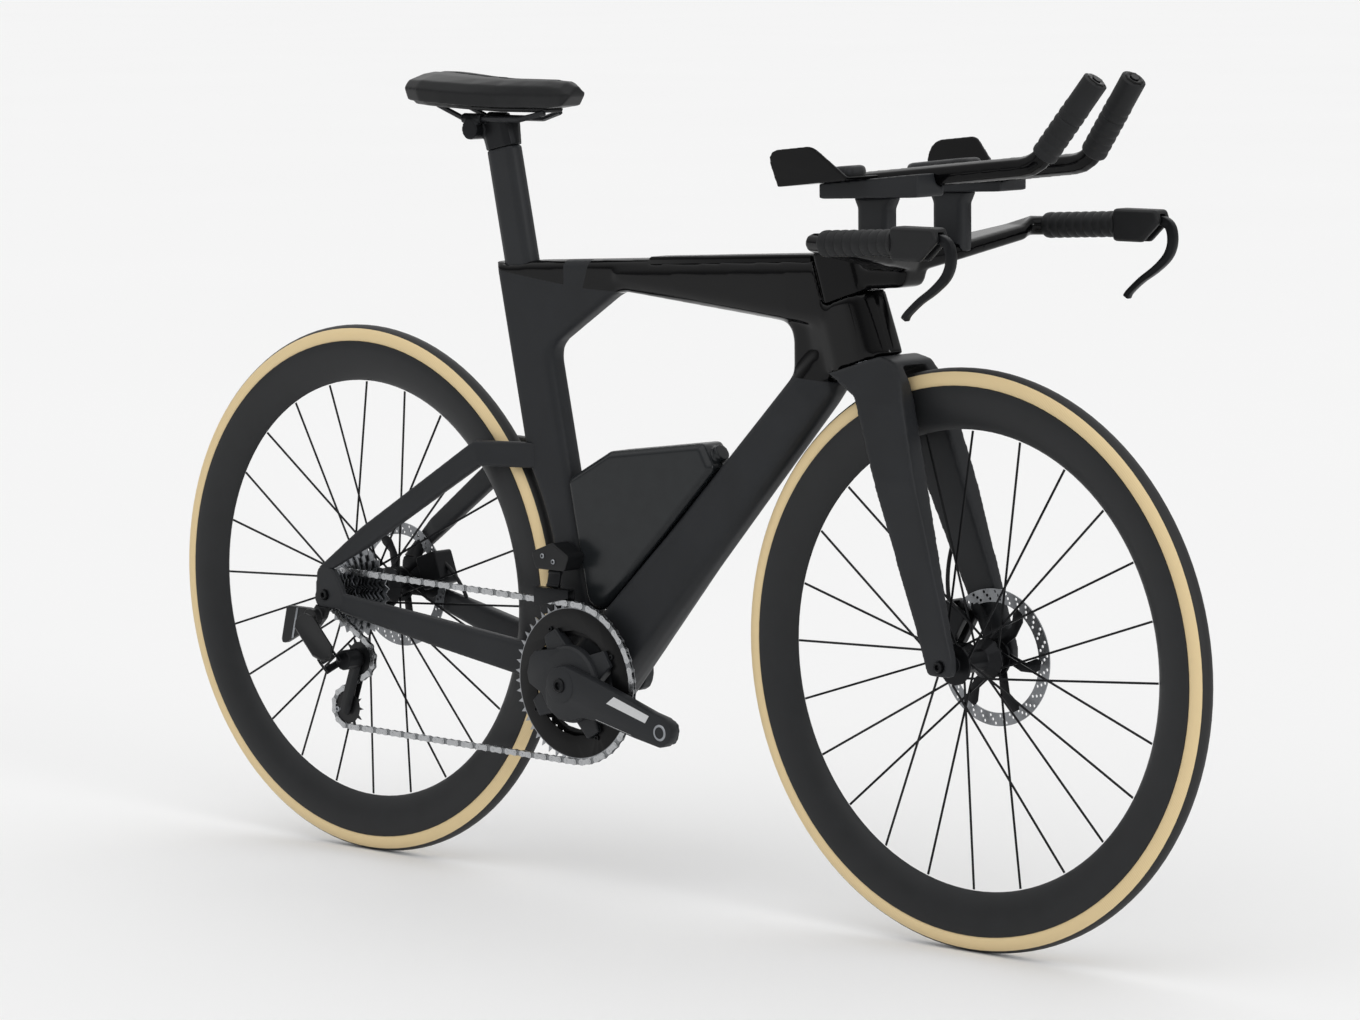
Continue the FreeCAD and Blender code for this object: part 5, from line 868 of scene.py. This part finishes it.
cover_shape = ((-8, -6), (2, -14), (48, -14), (62, -7), (64, 5), (52, 14), (4, 14), (-8, 7))
cover_out, cover_thick, cover_edge = 8, 11, 4.0
cover_outline = [on_link(x, z, cover_out) for x, z in cover_shape]
cover = cut_plate("link_cover", cover_outline, link_swing * -cover_thick / MM, cover_edge)
web_shape = ((14, -8), (42, -8), (42, 8), (14, 8))
web_out, web_thick, web_edge = 1, 9, 0.5
web_outline = [on_link(x, z, web_out) for x, z in web_shape]
web = cut_plate("link_web", web_outline, link_swing * -web_thick / MM, web_edge)
dress(joined("rd_link_cover", [cover, web]), "black_plastic", body_of["rd_link"], slot_of["rd_link"])
strip_shape = ((-551, 278.5), (-547.5, 280), (-537.5, 319), (-541, 319))
strip_y, strip_thick, strip_edge = -88.4, 0.9, 0.2
strip_outline = [mm(x, strip_y, z) for x, z in strip_shape]
strip = cut_plate("battery_strip", strip_outline, mm(0, -strip_thick, 0), strip_edge)
dress(strip, "bare_alloy", body_of["rd_body"], slot_of["rd_body"])

# %% [markdown]
# ## Brake rotors
# A rotor has a steel track, drilled in slanting rows so that it clears water, on a black carrier with arms.
# One rotor is modelled about the origin, and each wheel gets a copy.

# %% Rotors
track_profile = [(64.5, -0.9), (80, -0.9), (80, 0.9), (64.5, 0.9)]
drill_turns, drill_radius, drill_depth = 30, 1.9, 6
drill_rows = ((68, 0.0), (72.3, 3.2), (76.6, 6.4))
track = spun("track", track_profile, Vector(), steps=96)
drills = []
for i in range(drill_turns):
    for row, shift in drill_rows:
        angle = math.radians(360 / drill_turns * i + shift)
        place = mm(row * math.cos(angle), 0, row * math.sin(angle))
        bpy.ops.mesh.primitive_cylinder_add(vertices=10, radius=drill_radius / MM, depth=drill_depth / MM,
                                            rotation=(math.pi / 2, 0, 0), location=place)
        drills.append(bpy.context.object)
drill = joined("drill", drills)
apply(track, "BOOLEAN", operation="DIFFERENCE", object=drill, solver="EXACT")
bpy.data.objects.remove(drill)
smooth(track, 30)

carrier_profile = [(15, -2.5), (22, -2.5), (23, 0), (22, 1.2), (15, 1.2)]
arm_shape = ((20, -5), (38, -13), (58, -13), (67, -8), (67.5, 3), (60, 4), (45, -2), (34, 2), (21, 7))
arm_half, arm_edge, arm_count = 1.0, 0.4, 6
rotor_sides = {"front": 40, "rear": 56}
carrier_parts = [spun("carrier", carrier_profile, Vector(), steps=48)]
arm = cut_plate("carrier", [mm(x, -arm_half, z) for x, z in arm_shape], mm(0, arm_half * 2, 0), arm_edge)
for i in range(arm_count):
    carrier_parts.append(placed(arm, Matrix.Rotation(math.radians(360 / arm_count * i), 4, "Y")))
bpy.data.objects.remove(arm)
carrier = joined("carrier", carrier_parts)
smooth(carrier, 35)
for end, side in rotor_sides.items():
    node, wheel = end + "_rotor", end + "_wheel"
    to_wheel = Matrix.Translation(axles[end] + mm(0, side, 0))
    dress(joined(node + "_track", [placed(track, to_wheel)]), "steel", wheel, slot_of[node], node)
    dress(joined(node + "_carrier", [placed(carrier, to_wheel)]), "black_alloy", wheel, slot_of[node])
for spare in (track, carrier, bolt_master):
    bpy.data.objects.remove(spare)

# %% [markdown]
# ## Hand grips
# The grips are moulded sleeves with rounded ribs across them, so that a wet hand holds.
# Each is turned from a waved profile. The upright ones end in a smooth collar below the shift button.

# %% Ribbed grips
wave_step, wave_lift = 1.25, 0.01
foot_step, tip_step, tip_length = 1.5, 2.0, 1.6
collar_rise, collar_share = 12, 0.6


def ribbed(name, start, end, rib, low, high, smooth_from):
    """A turned sleeve from one place to another, ribbed up to a share of its length."""
    way = end - start
    length = way.length * MM
    count = round(length / wave_step)
    profile = [(0, 0), (low - foot_step, 0)]
    for i in range(count + 1):
        height = length * i / count
        wave = math.sqrt(abs(math.sin(math.pi * height / rib)))
        fade = min(1.0, max(0.0, (height / length - smooth_from) * collar_rise))
        out = wave * (1 - fade) + fade * collar_share
        profile.append((low + (high - low) * out, height + wave_lift))
    profile += [(low - tip_step, length + tip_length), (0, length + tip_length)]
    made = spun(name, profile, start, way, 36)
    smooth(made, 50)
    return made


bar_grip_ends = ((448, 826.3), (553, 831.4))
extension_ends = ((628.02, 46, 911.02), (703.02, 34, 1008.02))
sleeve_start, sleeve_end = 14, 3
bar_parts, extension_parts = [], []
for side in (1, -1):
    rear, front = (mm(x, side * bar_half, z) for x, z in bar_grip_ends)
    sleeve = ribbed("bar_grip", rear, front, rib=12.5, low=13.8, high=15.3, smooth_from=0.98)
    bar_parts.append(sleeve)
    foot, tip = (mm(x, side * y, z) for x, y, z in extension_ends)
    way = (tip - foot).normalized()
    rear, front = foot + way * sleeve_start / MM, tip - way * sleeve_end / MM
    sleeve = ribbed("extension_grip", rear, front, rib=10.5, low=13.6, high=15.2, smooth_from=0.62)
    extension_parts.append(sleeve)
for node, parts in (("bar_grips", bar_parts), ("extension_grips", extension_parts)):
    dress(joined(node + "_ribbed", parts), "grip_tape", body_of[node], slot_of[node], node)

# %% [markdown]
# ## Padded pieces
# The saddle and the arm pads are foam under a cover. Their solids already have the crown and the channel,
# so a copy, remeshed and relaxed, gives the full round form of the foam.

# %% Saddle and pads
pad_voxel, pad_rounds = 1.6 / MM, 12
for node, finish, fill_share in (("saddle_pad", "saddle_cover", 0.9), ("arm_pads", "pad_fabric", 0.8)):
    made = copy_of(node, node + "_cover")
    apply(made, "REMESH", mode="VOXEL", voxel_size=pad_voxel)
    apply(made, "SMOOTH", factor=relax_share, iterations=pad_rounds)
    smooth(made, 80)
    dress(made, finish, body_of[node], slot_of[node], node)

# %% [markdown]
# ## Finishes on the other solids
# The rest of the solids already have their true shape, so they only take a finish.

# %% Remaining solids
plain_finish = {
    "frame_bearings": "bare_alloy", "spindle": "bare_alloy", "cassette": "steel",
    "front_spokes": "black_steel", "rear_spokes": "black_steel",
    "front_axle": "black_alloy", "rear_axle": "black_alloy", "saddle_rails": "carbon_rail",
    "guide_pulley": "black_plastic", "tension_pulley": "black_plastic",
    "front_pad_outer": "brake_lining", "front_pad_inner": "brake_lining",
    "rear_pad_outer": "brake_lining", "rear_pad_inner": "brake_lining",
    "shift_button_left": "black_plastic", "shift_button_right": "black_plastic",
}
for node, finish in plain_finish.items():
    mesh = frame["nodes"][node].data
    mesh.materials.clear()
    mesh.materials.append(finishes[finish])
for hose in hoses:
    hose.data.materials.append(finishes["hose_rubber"])
left_over = [n for n in frame["nodes"] if n not in plain_finish and not frame["nodes"][n].hide_render]
print("solids with a finish", len(plain_finish), "left over", left_over)
